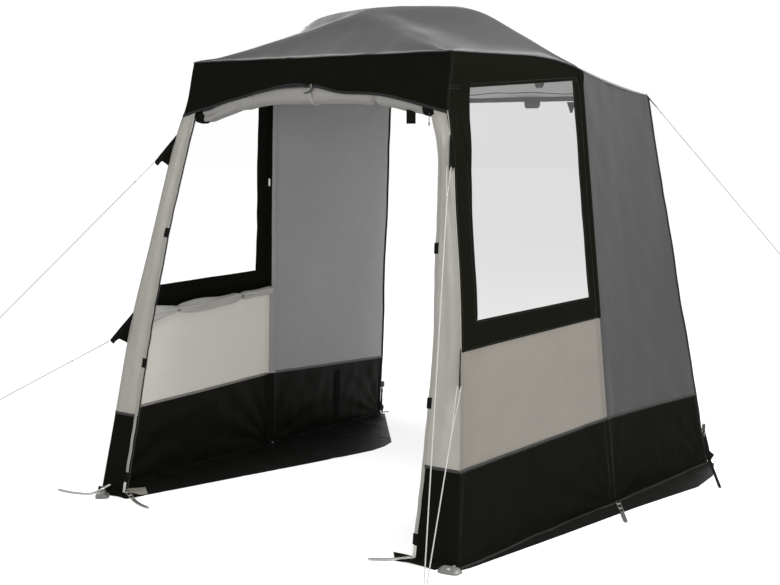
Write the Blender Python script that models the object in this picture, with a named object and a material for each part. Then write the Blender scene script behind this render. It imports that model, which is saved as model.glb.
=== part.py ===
"""Tailgate tent: a cloth shelter on two pairs of splayed legs, domed over crossing roof poles, open at the
front under an arched fascia and open at the rear, where it closes against a vehicle.

Metres, +Z up. The front faces -Y. The origin is on the ground, midway between the outermost guy pegs.
Depths are measured back from the line of the front feet.
"""
import math

import bmesh
import bpy
from mathutils import Vector

GAP = 0.0003
CLOTH = 0.004
FILM = 0.002

# Legs: half width and depth at the ground and at the eave
EAVE_Z = 1.95
FRONT_FOOT_X, FRONT_FOOT_DEPTH = 0.986, 0.0
FRONT_EAVE_X, FRONT_EAVE_DEPTH = 0.705, 0.357
MID_FOOT_X, MID_FOOT_DEPTH = 1.017, 1.197
MID_EAVE_X, MID_EAVE_DEPTH = 0.875, 1.080
MID_EAVE_Z = 1.90
REAR_FOOT_X, REAR_FOOT_DEPTH = 1.025, 2.172
REAR_TOP_X, REAR_TOP_DEPTH, REAR_TOP_Z = 0.774, 1.938, 1.813
FRONT_LEG_BOW = 0.028

# Heights of the seams at the front leg, the mid leg and the rear edge
MUD_SEAM_Z = (0.358, 0.387, 0.351)
SURROUND_LOW_Z = (0.797, 0.833)
FILM_LOW_Z = (0.906, 0.931)
FILM_HIGH_Z = (1.801, 1.856)
FILM_START, FILM_END = 0.105, 0.925
REAR_TOP_SAG = 0.008

# Arched fascia over the doorway and the narrow panels beside it
ARCH_RISE, ARCH_CROWN_Z, ARCH_HALF = 0.139, 1.846, 0.717
ARCH_POWER, ARCH_SOFTEN = 1.35, 0.03
DOOR_PANEL_TOP_Z = 1.700
DOOR_EDGE_X, DOOR_EDGE_TAPER, DOOR_EDGE_BEND_Z, DOOR_EDGE_POWER = 0.785, 0.128, 0.30, 2.5

# Roof dome: the hips over the crossing poles rise gently from the front corners and steeply from the
# rear ones, and the cloth of each side hangs in a saddle between its two hips
ROOF_RISE = 0.222
ROOF_CENTRE = 0.52
FRONT_HIP = ((0.0, 1.0), (0.34, 0.57), (0.675, 0.22), (0.87, 0.036), (1.0, 0.0))
REAR_HIP = ((0.0, 1.0), (0.18, 1.02), (0.35, 1.045), (0.47, 1.04), (0.534, 1.0), (0.60, 0.895),
            (0.729, 0.585), (0.912, 0.172), (1.0, 0.0))
SIDE_SADDLE = 0.15
RIDGE_RISE, RIDGE_POWER, RIDGE_FADE, RUN_OUT_START = 0.13, 1.6, 1.2, 0.50
ROOF_CELLS = 24

POLE_RADIUS = 0.008
POLE_SEAT = 0.0005
POLE_UNDER_ROOF = 0.009
LEG_TOP_BELOW_EAVE = 0.045
POLE_END_ABOVE_LEG = (0.0006, 0.012)
ROOF_POLE_START, ROOF_POLE_END = -0.94, 0.945
CROSSING_REACH, CROSSING_CLEAR = 0.09, 0.0022
LEG_LEAN, FRONT_LEG_TILT, MID_LEG_TILT = 0.982, 0.24, 0.10

# Steel foot under each front leg: a thin sole below the leg and a wedge in front of the cloth
FOOT_WIDE, FOOT_OUTER_X = 0.080, 0.985
FOOT_FRONT, FOOT_HEEL_FRONT, FOOT_BACK = -0.062, -0.001, 0.045
FOOT_SOLE, FOOT_TOE, FOOT_HEEL = 0.004, 0.006, 0.028
WALL_LOW_Z = FOOT_SOLE + GAP

# Rolled door and the blinds rolled up under the windows
DOOR_ROLL_RADIUS, DOOR_ROLL_HALF, DOOR_ROLL_Z = 0.048, 0.600, 1.800
DOOR_ROLL_DROOP, DOOR_ROLL_BEHIND, DOOR_ROLL_CURVE = 0.050, 0.0524, 2.2
BLIND_RADIUS, BLIND_START, BLIND_END = 0.026, 0.07, 0.96

# Outer edges of the mud flaps as pairs of depth and half width, and how far each reaches under its wall
LEFT_FLAP = ((0.062, 0.762), (0.69, 0.626), (1.15, 0.560), (1.25, 0.545), (1.45, 0.509), (1.64, 0.550),
             (2.165, 0.985))
RIGHT_FLAP = ((0.06, 1.004), (0.65, 1.062), (1.20, 1.110), (1.695, 1.179), (1.94, 1.149), (2.165, 1.060))
FLAP_UNDER_WALL = 0.002

# Ends of a panel along its bay, just clear of the corner seams
BAY_START, BAY_END = 0.0003, 0.9998
FILM_TRIM = 0.0005

# Guys and pegs
CORD_RADIUS = 0.0016
GUY_HIGH_Z, GUY_LOW_Z, GUY_REACH = 1.50, 0.69, 0.062
PATCH_TALL, PATCH_THICK, PATCH_SEAT = 0.15, 0.003, 0.0004
REAR_GUY_SEAT = (0.0022, -0.006)
FRONT_LEFT_PEG = (-1.87, -0.82)
FRONT_RIGHT_PEG = (1.19, -0.51)
REAR_PEG_X, REAR_PEG_DEPTH = 1.87, 3.16
PEG_RADIUS, PEG_HEAD_RADIUS, PEG_TALL = 0.005, 0.013, 0.075
GUY_BELOW_HEAD = (0.024, 0.034)
CENTRE_DEPTH = (REAR_PEG_DEPTH + FRONT_LEFT_PEG[1]) / 2

BEIGE = (0.46, 0.43, 0.385, 1)
BLACK = (0.012, 0.012, 0.012, 1)
GREY = (0.13, 0.13, 0.13, 1)
CLEAR = (0.8, 0.8, 0.8, 1)
STEEL = (0.45, 0.45, 0.46, 1)
PALE_CORD = (0.6, 0.6, 0.58, 1)

SIDES = (("left", -1), ("right", 1))


def material(name, colour, roughness=0.8, metallic=0.0, alpha=1.0):
    """A Principled finish, made once for each name."""
    found = bpy.data.materials.get(name)
    if found:
        return found
    made = bpy.data.materials.new(name)
    made.use_nodes = True
    shader = made.node_tree.nodes["Principled BSDF"]
    shader.inputs["Base Color"].default_value = colour
    shader.inputs["Roughness"].default_value = roughness
    shader.inputs["Metallic"].default_value = metallic
    shader.inputs["Alpha"].default_value = alpha
    return made


def place(x, depth, z):
    """A point from its half width, its depth behind the front feet and its height."""
    return Vector((x, depth - CENTRE_DEPTH, z))


def add_mesh(name, points, faces, finish, smooth=False):
    """One closed mesh object from points and faces, with its faces turned outwards."""
    mesh = bpy.data.meshes.new(name)
    mesh.from_pydata([tuple(p) for p in points], [], faces)
    shape = bmesh.new()
    shape.from_mesh(mesh)
    bmesh.ops.recalc_face_normals(shape, faces=shape.faces)
    shape.to_mesh(mesh)
    shape.free()
    if smooth:
        mesh.shade_smooth()
        mesh.set_sharp_from_angle(angle=math.radians(40))
    mesh.materials.append(finish)
    made = bpy.data.objects.new(name, mesh)
    bpy.context.scene.collection.objects.link(made)
    return made


def plate(name, grid, offset, finish, holes=(), ridged=False):
    """A sheet with thickness: a grid of points, its copy moved by offset, and walls round every edge.

    A ridged sheet has its cells cut into triangles along the lines that run to its middle.
    """
    rows, columns = len(grid), len(grid[0])
    outer = [p for row in grid for p in row]
    points = outer + [p + Vector(offset) for p in outer]
    count = len(outer)
    cells = {(r, c) for r in range(rows - 1) for c in range(columns - 1)} - set(holes)
    faces = []
    for r, c in sorted(cells):
        corner = (r * columns + c, r * columns + c + 1, (r + 1) * columns + c + 1, (r + 1) * columns + c)
        pieces = [corner]
        if ridged:
            rising = (r < (rows - 1) / 2) == (c < (columns - 1) / 2)
            k = 0 if rising else 1
            turned = corner[k:] + corner[:k]
            pieces = [turned[:3], (turned[0], turned[2], turned[3])]
        for piece in pieces:
            faces.append(piece)
            faces.append(tuple(i + count for i in reversed(piece)))
        neighbours = ((r - 1, c), (r, c + 1), (r + 1, c), (r, c - 1))
        for k, beside in enumerate(neighbours):
            if beside not in cells:
                a, b = corner[k], corner[(k + 1) % 4]
                faces.append((b, a, a + count, b + count))
    used = sorted({i for face in faces for i in face})
    index = {old: new for new, old in enumerate(used)}
    renumbered = [tuple(index[i] for i in face) for face in faces]
    return add_mesh(name, [points[i] for i in used], renumbered, finish)


def tube(name, path, radius, finish, resolution=2):
    """A round bar along a path, with closed ends."""
    curve = bpy.data.curves.new(name, "CURVE")
    curve.dimensions = "3D"
    curve.bevel_depth = radius
    curve.bevel_resolution = resolution
    curve.use_fill_caps = True
    spline = curve.splines.new("POLY")
    spline.points.add(len(path) - 1)
    for point, spot in zip(spline.points, path):
        point.co = (*spot, 1)
    curve.materials.append(finish)
    made = bpy.data.objects.new(name, curve)
    bpy.context.scene.collection.objects.link(made)
    return made


def steps(low, high, count):
    """Evenly spaced values from low to high, count of them."""
    return [low + (high - low) * i / (count - 1) for i in range(count)]


def mix(a, b, share):
    return a + (b - a) * share


def profile(table, at):
    """Reads a height off a short table of (place, value) pairs, with straight runs between them."""
    for (x0, y0), (x1, y1) in zip(table, table[1:]):
        if at <= x1:
            return mix(y0, y1, (at - x0) / (x1 - x0))
    return table[-1][1]


def front_leg(side, z):
    """The front corner seam, bowed outwards."""
    share = z / EAVE_Z
    half = mix(FRONT_FOOT_X, FRONT_EAVE_X, share) + FRONT_LEG_BOW * 4 * share * (1 - share)
    return place(side * half, mix(FRONT_FOOT_DEPTH, FRONT_EAVE_DEPTH, share), z)


def mid_leg(side, z):
    """The seam over the rear pair of legs."""
    share = z / EAVE_Z
    return place(side * mix(MID_FOOT_X, MID_EAVE_X, share), mix(MID_FOOT_DEPTH, MID_EAVE_DEPTH, share), z)


def rear_edge(side, z):
    """The free edge of the side wall at the rear opening."""
    share = z / REAR_TOP_Z
    return place(side * mix(REAR_FOOT_X, REAR_TOP_X, share), mix(REAR_FOOT_DEPTH, REAR_TOP_DEPTH, share), z)


def front_bay(side, share, z):
    return front_leg(side, z).lerp(mid_leg(side, z), share)


def rear_bay(side, share, z):
    return mid_leg(side, z).lerp(rear_edge(side, z), share)


def eave_z(share):
    """Height of the side eave: level from the front, easing down over the rear leg."""
    fall = max(0.0, (share - 0.55) / 0.45)
    return EAVE_Z - (EAVE_Z - MID_EAVE_Z) * fall * fall


def rear_top_z(share):
    """Height of the top edge of the rear bay, with a slight sag."""
    return mix(MID_EAVE_Z, REAR_TOP_Z, share) - REAR_TOP_SAG * 4 * share * (1 - share)


def wall_grid(bay, side, shares, low, high, rows):
    """Points of one wall panel between two seams, whose heights are functions of the share along the bay."""
    grid = []
    for r in range(rows):
        row = []
        for share in shares:
            z = mix(low(share), high(share), r / (rows - 1))
            row.append(bay(side, share, z))
        grid.append(row)
    return grid


def between(pair, trim=0.0):
    """A seam height that changes evenly from one end of a bay to the other."""
    return lambda share: mix(pair[0], pair[1], share) + trim


def build_side_walls():
    """Both side walls: mud wall, lower panel, window surround, film, side fascia and rear panel."""
    beige = material("beige_cloth", BEIGE)
    black = material("black_cloth", BLACK)
    grey = material("grey_cloth", GREY)
    clear = material("clear_film", CLEAR, roughness=0.15, alpha=0.4)
    edge = GAP / 2
    bay_shares = steps(BAY_START, BAY_END, 6)
    rear_shares = steps(1.0 - BAY_END, 1.0, 6)
    ground = between((WALL_LOW_Z, WALL_LOW_Z))
    for word, side in SIDES:
        inward = (-side * CLOTH, 0, 0)
        low_front = wall_grid(front_bay, side, steps(BAY_START, 1.0, 6), ground,
                              between(MUD_SEAM_Z[:2], -edge), 4)
        low_rear = wall_grid(rear_bay, side, steps(0.0, 1.0, 6), ground,
                             between(MUD_SEAM_Z[1:], -edge), 4)
        mud = [front + rear[1:] for front, rear in zip(low_front, low_rear)]
        plate("mud_wall_" + word, mud, inward, black)
        plate("lower_panel_" + word,
              wall_grid(front_bay, side, bay_shares, between(MUD_SEAM_Z[:2], edge),
                        between(SURROUND_LOW_Z, -edge), 5), inward, beige)
        build_window(word, side, inward, black, clear)
        plate("side_fascia_" + word,
              wall_grid(front_bay, side, steps(BAY_START, BAY_END, 11), between(FILM_HIGH_Z, edge),
                        eave_z, 3),
              inward, black)
        plate("rear_panel_" + word,
              wall_grid(rear_bay, side, rear_shares, between(MUD_SEAM_Z[1:], edge), rear_top_z, 9),
              inward, grey)


def build_window(word, side, inward, black, clear):
    """A black surround, open at the top under the side fascia, with a clear film set in it."""
    edge = GAP / 2
    shares = [BAY_START, FILM_START] + steps(FILM_START, FILM_END, 5)[1:] + [BAY_END]
    bottom = wall_grid(front_bay, side, shares, between(SURROUND_LOW_Z, edge), between(FILM_LOW_Z), 2)
    upper = wall_grid(front_bay, side, shares, between(FILM_LOW_Z), between(FILM_HIGH_Z, -edge), 8)
    grid = bottom + upper[1:]
    holes = [(r, c) for r in range(1, len(grid) - 1) for c in range(1, len(shares) - 2)]
    plate("window_surround_" + word, grid, inward, black, holes)
    plate("window_film_" + word,
          wall_grid(front_bay, side, steps(FILM_START + FILM_TRIM, FILM_END - FILM_TRIM, 5),
                    between(FILM_LOW_Z, FILM_TRIM), between(FILM_HIGH_Z, -edge), 8),
          (-side * FILM, 0, 0), clear)


def front_depth(z):
    """Depth of the sloping front face at a height."""
    return mix(FRONT_FOOT_DEPTH, FRONT_EAVE_DEPTH, z / EAVE_Z)


def arch_z(x):
    """Lower edge of the fascia over the doorway."""
    reach = math.sqrt(x * x + ARCH_SOFTEN ** 2) / ARCH_HALF
    return ARCH_CROWN_Z - ARCH_RISE * reach ** ARCH_POWER


def door_edge_x(z):
    """Half width of the doorway, which narrows towards the top."""
    rise = max(0.0, (z - DOOR_EDGE_BEND_Z) / (DOOR_PANEL_TOP_Z - DOOR_EDGE_BEND_Z))
    return DOOR_EDGE_X - DOOR_EDGE_TAPER * rise ** DOOR_EDGE_POWER


def build_front():
    """The arched fascia and the narrow cloth panel on each side of the doorway."""
    beige = material("beige_cloth", BEIGE)
    black = material("black_cloth", BLACK)
    inset = CLOTH + 2 * GAP
    grid = []
    for r in range(4):
        row = []
        for u in steps(-1.0, 1.0, 25):
            low = arch_z(u * ARCH_HALF)
            z = mix(low, EAVE_Z, r / 3)
            half = abs(front_leg(1, z).x) - inset
            row.append(place(u * half, front_depth(z), z))
        grid.append(row)
    plate("front_fascia", grid, (0, CLOTH, 0), black)
    for word, side in SIDES:
        for name, low, high, rows, finish in (
                ("front_mud_panel_", WALL_LOW_Z, MUD_SEAM_Z[0] - GAP, 4, black),
                ("front_panel_", MUD_SEAM_Z[0], DOOR_PANEL_TOP_Z, 13, beige)):
            panel = []
            for z in steps(low, high, rows):
                outer = abs(front_leg(1, z).x) - inset
                inner = door_edge_x(z)
                panel.append([place(side * mix(outer, inner, k / 3), front_depth(z), z) for k in range(4)])
            plate(name + word, panel, (0, CLOTH, 0), finish)


def ridge_rise(u):
    """Rise of the cloth from its edges to its middle where the dome runs out over the rear roof."""
    return RIDGE_RISE * (1 - abs(u) ** RIDGE_POWER)


def roof_height(u, v):
    """Rise of the dome over the eaves at a place from -1 to 1 across and from -1, front, to 1, rear."""
    reach = min(1.0, max(abs(u), abs(v)))
    front, rear = profile(FRONT_HIP, reach), profile(REAR_HIP, reach)
    if v < 0 and -v >= abs(u):
        return ROOF_RISE * front
    if v >= abs(u):
        run_out = max(0.0, (reach - RUN_OUT_START) / (1 - RUN_OUT_START))
        return ROOF_RISE * rear + ridge_rise(u / max(reach, GAP)) * run_out
    turn = (v / abs(u) + 1) / 2
    saddle = SIDE_SADDLE * 4 * turn * (1 - turn) * 4 * reach * (1 - reach)
    return ROOF_RISE * (mix(front, rear, turn) - saddle)


def roof_point(u, v):
    """A point of the underside of the roof cloth, over the eave lines of the four walls."""
    share = ROOF_CENTRE * (1 + v) if v < 0 else mix(ROOF_CENTRE, 1.0, v)
    left = front_bay(-1, share, eave_z(share))
    right = front_bay(1, share, eave_z(share))
    spot = left.lerp(right, (u + 1) / 2)
    return spot + Vector((0, 0, GAP + roof_height(u, v)))


def build_roof():
    """The dome over the box and the roof that runs back from it to the rear opening."""
    grey = material("grey_cloth", GREY)
    places = steps(-1.0, 1.0, ROOF_CELLS + 1)
    grid = [[roof_point(u, v) for u in places] for v in places]
    for spot in grid[-1]:
        spot.y -= GAP / 2
    plate("roof_canopy", grid, (0, 0, CLOTH), grey, ridged=True)
    grid = []
    for share in steps(0.0, 1.0, 6):
        z = rear_top_z(share)
        left, right = rear_bay(-1, share, z), rear_bay(1, share, z)
        row = []
        for u in places:
            rise = GAP + ridge_rise(u) * (1 - share) ** RIDGE_FADE
            row.append(left.lerp(right, (u + 1) / 2) + Vector((0, GAP / 2 if share == 0 else 0, rise)))
        grid.append(row)
    plate("rear_roof", grid, (0, 0, CLOTH), grey)


def leg_axis(side, z, seam, across, back):
    """Centre of a leg pole standing inside a corner of the cloth."""
    reach = CLOTH + (POLE_RADIUS + POLE_SEAT) / LEG_LEAN
    return seam(side, z) + Vector((-side * across * reach, back * reach, 0))


def roof_pole_path(start_side, drop):
    """A pole under the roof cloth, from one front corner across to the rear corner on the other side."""
    path = []
    for above in POLE_END_ABOVE_LEG:
        path.append(leg_axis(start_side, EAVE_Z - LEG_TOP_BELOW_EAVE + above, front_leg, 1, 1))
    for w in steps(ROOF_POLE_START, ROOF_POLE_END, 35):
        on_roof = roof_point(start_side * -w, w)
        run = roof_point(start_side * -(w + 0.01), w + 0.01) - roof_point(start_side * -(w - 0.01), w - 0.01)
        lean = math.hypot(run.x, run.y) / run.length
        dip = drop * math.exp(-(w / CROSSING_REACH) ** 2)
        path.append(on_roof - Vector((0, 0, (POLE_RADIUS + POLE_UNDER_ROOF) / lean + dip)))
    for above in reversed(POLE_END_ABOVE_LEG):
        path.append(leg_axis(-start_side, MID_EAVE_Z - LEG_TOP_BELOW_EAVE + above, mid_leg, 1, 0))
    return path


def build_frame():
    """Four leg poles, two crossing roof poles and the pole across the top of the rear opening."""
    steel = material("pole_steel", STEEL, roughness=0.35, metallic=1.0)
    foot = FOOT_SOLE + GAP + POLE_RADIUS * FRONT_LEG_TILT
    for word, side in SIDES:
        heights = steps(foot, EAVE_Z - LEG_TOP_BELOW_EAVE, 14)
        tube("front_leg_" + word, [leg_axis(side, z, front_leg, 1, 1) for z in heights], POLE_RADIUS, steel)
        under = CLOTH + GAP if side < 0 else 0.0
        heights = (under + GAP + POLE_RADIUS * MID_LEG_TILT, MID_EAVE_Z - LEG_TOP_BELOW_EAVE)
        tube("mid_leg_" + word, [leg_axis(side, z, mid_leg, 1, 0) for z in heights], POLE_RADIUS, steel)
    tube("roof_pole_a", roof_pole_path(-1, 0.0), POLE_RADIUS, steel)
    tube("roof_pole_b", roof_pole_path(1, 2 * POLE_RADIUS + CROSSING_CLEAR), POLE_RADIUS, steel)
    depth = REAR_TOP_DEPTH - POLE_RADIUS
    share = (depth - MID_EAVE_DEPTH) / (REAR_TOP_DEPTH - MID_EAVE_DEPTH)
    z = rear_top_z(share) - POLE_RADIUS - GAP
    half = rear_edge(1, z).x - CLOTH - POLE_RADIUS / 3
    tube("rear_top_pole", [place(-half, depth, z), place(half, depth, z)], POLE_RADIUS, steel)


def build_rolls():
    """The door rolled up under the fascia, and a blind rolled up under each window."""
    beige = material("beige_cloth", BEIGE)
    path = []
    for x in steps(-DOOR_ROLL_HALF, DOOR_ROLL_HALF, 13):
        z = DOOR_ROLL_Z - DOOR_ROLL_DROOP * abs(x / DOOR_ROLL_HALF) ** DOOR_ROLL_CURVE
        path.append(place(x, front_depth(z) + DOOR_ROLL_BEHIND, z))
    tube("rolled_door", path, DOOR_ROLL_RADIUS, beige, 3)
    reach = CLOTH + (BLIND_RADIUS + POLE_SEAT) / LEG_LEAN
    for word, side in SIDES:
        path = []
        for share in steps(BLIND_START, BLIND_END, 6):
            z = between(SURROUND_LOW_Z)(share)
            path.append(front_bay(side, share, z) + Vector((-side * reach, 0, 0)))
        tube("rolled_blind_" + word, path, BLIND_RADIUS, beige)


def build_flaps():
    """Mud flaps on the ground: folded in under the left wall, laid out beside the right one."""
    black = material("black_cloth", BLACK)
    for word, side, edge in (("left", -1, LEFT_FLAP), ("right", 1, RIGHT_FLAP)):
        grid = []
        for depth, far in edge:
            if depth <= MID_FOOT_DEPTH:
                base = mix(FRONT_FOOT_X, MID_FOOT_X, depth / MID_FOOT_DEPTH)
            else:
                behind = (depth - MID_FOOT_DEPTH) / (REAR_FOOT_DEPTH - MID_FOOT_DEPTH)
                base = mix(MID_FOOT_X, REAR_FOOT_X, behind)
            near = base - FLAP_UNDER_WALL
            grid.append([place(side * mix(near, far, k), depth, 0) for k in (0.0, 0.5, 1.0)])
        plate("mud_flap_" + word, grid, (0, 0, CLOTH), black)


def guy_tip(side, z):
    """Outer end of the cloth patch that a guy is tied to."""
    reach = GUY_REACH * math.sqrt(0.5)
    return front_leg(side, z) + Vector((side * reach, -reach, 0))


def build_guys():
    """Patches on the front legs, taut guys to their pegs, and a guy from each rear corner."""
    black = material("black_cloth", BLACK)
    pale = material("pale_cord", PALE_CORD)
    steel = material("pole_steel", STEEL, roughness=0.35, metallic=1.0)
    pegs = {}
    for word, side, x, depth in (("front_left", -1, *FRONT_LEFT_PEG), ("front_right", 1, *FRONT_RIGHT_PEG),
                                 ("rear_left", -1, -REAR_PEG_X, REAR_PEG_DEPTH),
                                 ("rear_right", 1, REAR_PEG_X, REAR_PEG_DEPTH)):
        pegs[word] = build_peg("guy_peg_" + word, x, depth, steel)
    skew = math.sqrt(0.5)
    for word, side in SIDES:
        head = pegs["front_" + word]
        for rank, z in (("upper", GUY_HIGH_Z), ("lower", GUY_LOW_Z)):
            tip = guy_tip(side, z)
            clear_of = Vector((side * PATCH_SEAT, -PATCH_SEAT, 0))
            top = front_leg(side, z + PATCH_TALL / 2) + clear_of
            low = front_leg(side, z - PATCH_TALL / 2) + clear_of
            across = Vector((side * skew, skew, 0)) * PATCH_THICK / 2
            points = [top - across, low - across, tip - across, top + across, low + across, tip + across]
            add_mesh("guy_patch_%s_%s" % (word, rank), points,
                     [(0, 1, 2), (3, 5, 4), (0, 3, 4, 1), (1, 4, 5, 2), (2, 5, 3, 0)], black)
            end = head_side(head, tip, rank == "upper")
            start = tip + (end - tip).normalized() * 0.001
            tube("guy_%s_%s" % (word, rank), [start, start.lerp(end, 0.5), end], CORD_RADIUS, pale)
        out, down = REAR_GUY_SEAT
        corner = rear_edge(side, REAR_TOP_Z) + Vector((side * out, out, down))
        end = head_side(pegs["rear_" + word], corner, True)
        tube("guy_rear_" + word, [corner, corner.lerp(end, 0.5), end], CORD_RADIUS, pale)


def head_side(head, start, high):
    """Where a guy meets its peg, on the side that faces the tent, just clear of the shaft."""
    toward = Vector((start.x - head.x, start.y - head.y, 0)).normalized()
    level = head.z - (GUY_BELOW_HEAD[0] if high else GUY_BELOW_HEAD[1])
    return Vector((head.x, head.y, level)) + toward * (PEG_RADIUS + CORD_RADIUS)


def build_peg(name, x, depth, finish):
    """A round peg with a flat head, standing from the ground; returns the point under its head."""
    foot = place(x, depth, 0)
    rings = ((PEG_RADIUS, 0.0), (PEG_RADIUS, PEG_TALL - 0.006), (PEG_HEAD_RADIUS, PEG_TALL - 0.004),
             (PEG_HEAD_RADIUS, PEG_TALL))
    count = 16
    points = []
    for radius, z in rings:
        for k in range(count):
            turn = 2 * math.pi * k / count
            points.append(foot + Vector((radius * math.cos(turn), radius * math.sin(turn), z)))
    faces = [tuple(range(count)), tuple(range(len(points) - count, len(points)))]
    for r in range(len(rings) - 1):
        for k in range(count):
            n = (k + 1) % count
            faces.append((r * count + k, r * count + n, (r + 1) * count + n, (r + 1) * count + k))
    add_mesh(name, points, faces, finish, smooth=True)
    return foot + Vector((0, 0, PEG_TALL - 0.006))


def build_feet():
    """A steel foot under each front leg, with a wedge that shows in front of the cloth."""
    steel = material("pole_steel", STEEL, roughness=0.35, metallic=1.0)
    outline = ((FOOT_FRONT, 0.0), (FOOT_BACK, 0.0), (FOOT_BACK, FOOT_SOLE), (FOOT_HEEL_FRONT, FOOT_SOLE),
               (FOOT_HEEL_FRONT, FOOT_HEEL), (FOOT_FRONT, FOOT_TOE))
    count = len(outline)
    for word, side in SIDES:
        points = []
        for x in (FOOT_OUTER_X, FOOT_OUTER_X - FOOT_WIDE):
            points += [place(side * x, depth, z) for depth, z in outline]
        faces = [tuple(range(count)), tuple(range(count, 2 * count))]
        faces += [(k, (k + 1) % count, (k + 1) % count + count, k + count) for k in range(count)]
        add_mesh("foot_plate_" + word, points, faces, steel)


def build_tent():
    """Clears the scene and builds every part of the tent."""
    for item in list(bpy.data.objects):
        bpy.data.objects.remove(item, do_unlink=True)
    build_side_walls()
    build_front()
    build_roof()
    build_frame()
    build_rolls()
    build_flaps()
    build_guys()
    build_feet()


build_tent()
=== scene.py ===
import math

import bpy
import numpy as np
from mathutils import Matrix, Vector


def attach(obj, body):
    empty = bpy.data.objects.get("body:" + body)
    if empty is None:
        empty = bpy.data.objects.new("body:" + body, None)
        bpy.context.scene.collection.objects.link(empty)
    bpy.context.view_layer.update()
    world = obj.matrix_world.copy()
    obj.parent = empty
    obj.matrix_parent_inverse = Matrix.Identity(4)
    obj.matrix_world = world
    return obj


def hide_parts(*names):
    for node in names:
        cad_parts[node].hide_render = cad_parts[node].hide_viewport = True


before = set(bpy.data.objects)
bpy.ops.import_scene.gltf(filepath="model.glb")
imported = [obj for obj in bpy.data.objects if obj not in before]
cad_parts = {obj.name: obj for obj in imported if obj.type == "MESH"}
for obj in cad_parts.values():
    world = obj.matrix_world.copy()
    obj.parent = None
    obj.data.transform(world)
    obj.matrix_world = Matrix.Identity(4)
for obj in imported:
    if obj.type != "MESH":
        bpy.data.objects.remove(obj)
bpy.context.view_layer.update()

# Camera of the photograph, in its frame of 780 x 585
FRAME_WIDE, FOCAL_PIXELS, SENSOR = 780, 1364.7, 36.0
CAMERA_PLACE = (3.759, -4.126 - 1.17, 1.608)
CAMERA_AZIMUTH, CAMERA_DOWN = math.radians(36.80), math.radians(6.43)

# Driving sizes of the tent, the same as in the part
GAP, CLOTH = 0.0003, 0.004
EAVE_Z, MID_EAVE_Z, REAR_TOP_Z = 1.95, 1.90, 1.813
FRONT_FOOT, FRONT_EAVE, FRONT_LEG_BOW = (0.986, 0.0), (0.705, 0.357), 0.028
MID_FOOT, MID_EAVE = (1.017, 1.197), (0.875, 1.080)
REAR_FOOT, REAR_TOP = (1.025, 2.172), (0.774, 1.938)
MUD_SEAM_Z = (0.358, 0.387, 0.351)
SURROUND_LOW_Z, FILM_LOW_Z, FILM_HIGH_Z = (0.797, 0.833), (0.906, 0.931), (1.801, 1.856)
FILM_START, FILM_END = 0.105, 0.925
REAR_TOP_SAG = 0.008
ARCH_RISE, ARCH_CROWN_Z, ARCH_HALF, ARCH_POWER, ARCH_SOFTEN = 0.139, 1.846, 0.717, 1.35, 0.03
DOOR_PANEL_TOP_Z = 1.700
DOOR_EDGE_X, DOOR_EDGE_TAPER, DOOR_EDGE_BEND_Z, DOOR_EDGE_POWER = 0.785, 0.128, 0.30, 2.5
ROOF_RISE, ROOF_CENTRE, SIDE_SADDLE = 0.222, 0.52, 0.15
FRONT_HIP = ((0.0, 1.0), (0.34, 0.57), (0.675, 0.22), (0.87, 0.036), (1.0, 0.0))
REAR_HIP = ((0.0, 1.0), (0.18, 1.02), (0.35, 1.045), (0.47, 1.04), (0.534, 1.0), (0.60, 0.895),
            (0.729, 0.585), (0.912, 0.172), (1.0, 0.0))
RIDGE_RISE, RIDGE_POWER, RIDGE_FADE, RUN_OUT_START = 0.13, 1.6, 1.2, 0.50
POLE_RADIUS, POLE_SEAT, POLE_UNDER_ROOF, LEG_LEAN = 0.008, 0.0005, 0.009, 0.982
LEG_TOP_BELOW_EAVE, POLE_END_ABOVE_LEG = 0.045, (0.0006, 0.012)
ROOF_POLE_START, ROOF_POLE_END, CROSSING_REACH, CROSSING_CLEAR = -0.94, 0.945, 0.09, 0.0022
DOOR_ROLL_RADIUS, DOOR_ROLL_HALF, DOOR_ROLL_Z = 0.048, 0.600, 1.800
DOOR_ROLL_DROOP, DOOR_ROLL_BEHIND, DOOR_ROLL_CURVE = 0.050, 0.0524, 2.2
BLIND_RADIUS, BLIND_START, BLIND_END = 0.026, 0.07, 0.96
LEFT_FLAP = ((-0.018, 0.771), (0.179, 0.725), (0.504, 0.655), (0.910, 0.565), (1.160, 0.513), (1.377, 0.474),
             (1.488, 0.480), (1.597, 0.512), (2.165, 0.985))
RIGHT_FLAP = ((0.06, 1.012), (0.65, 1.074), (1.20, 1.124), (1.695, 1.192), (1.94, 1.160), (2.165, 1.066))
CORD_RADIUS, GUY_HIGH_Z, GUY_LOW_Z, GUY_REACH = 0.0016, 1.50, 0.69, 0.062
FRONT_LEFT_PEG, FRONT_RIGHT_PEG, REAR_PEG = (-1.87, -0.82), (1.19, -0.51), (1.87, 3.16)
PEG_RADIUS, PEG_TALL, GUY_BELOW_HEAD = 0.005, 0.075, (0.024, 0.034)
CENTRE_DEPTH = (REAR_PEG[1] + FRONT_LEFT_PEG[1]) / 2
WALL_LOW_Z = CLOTH + GAP

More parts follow.
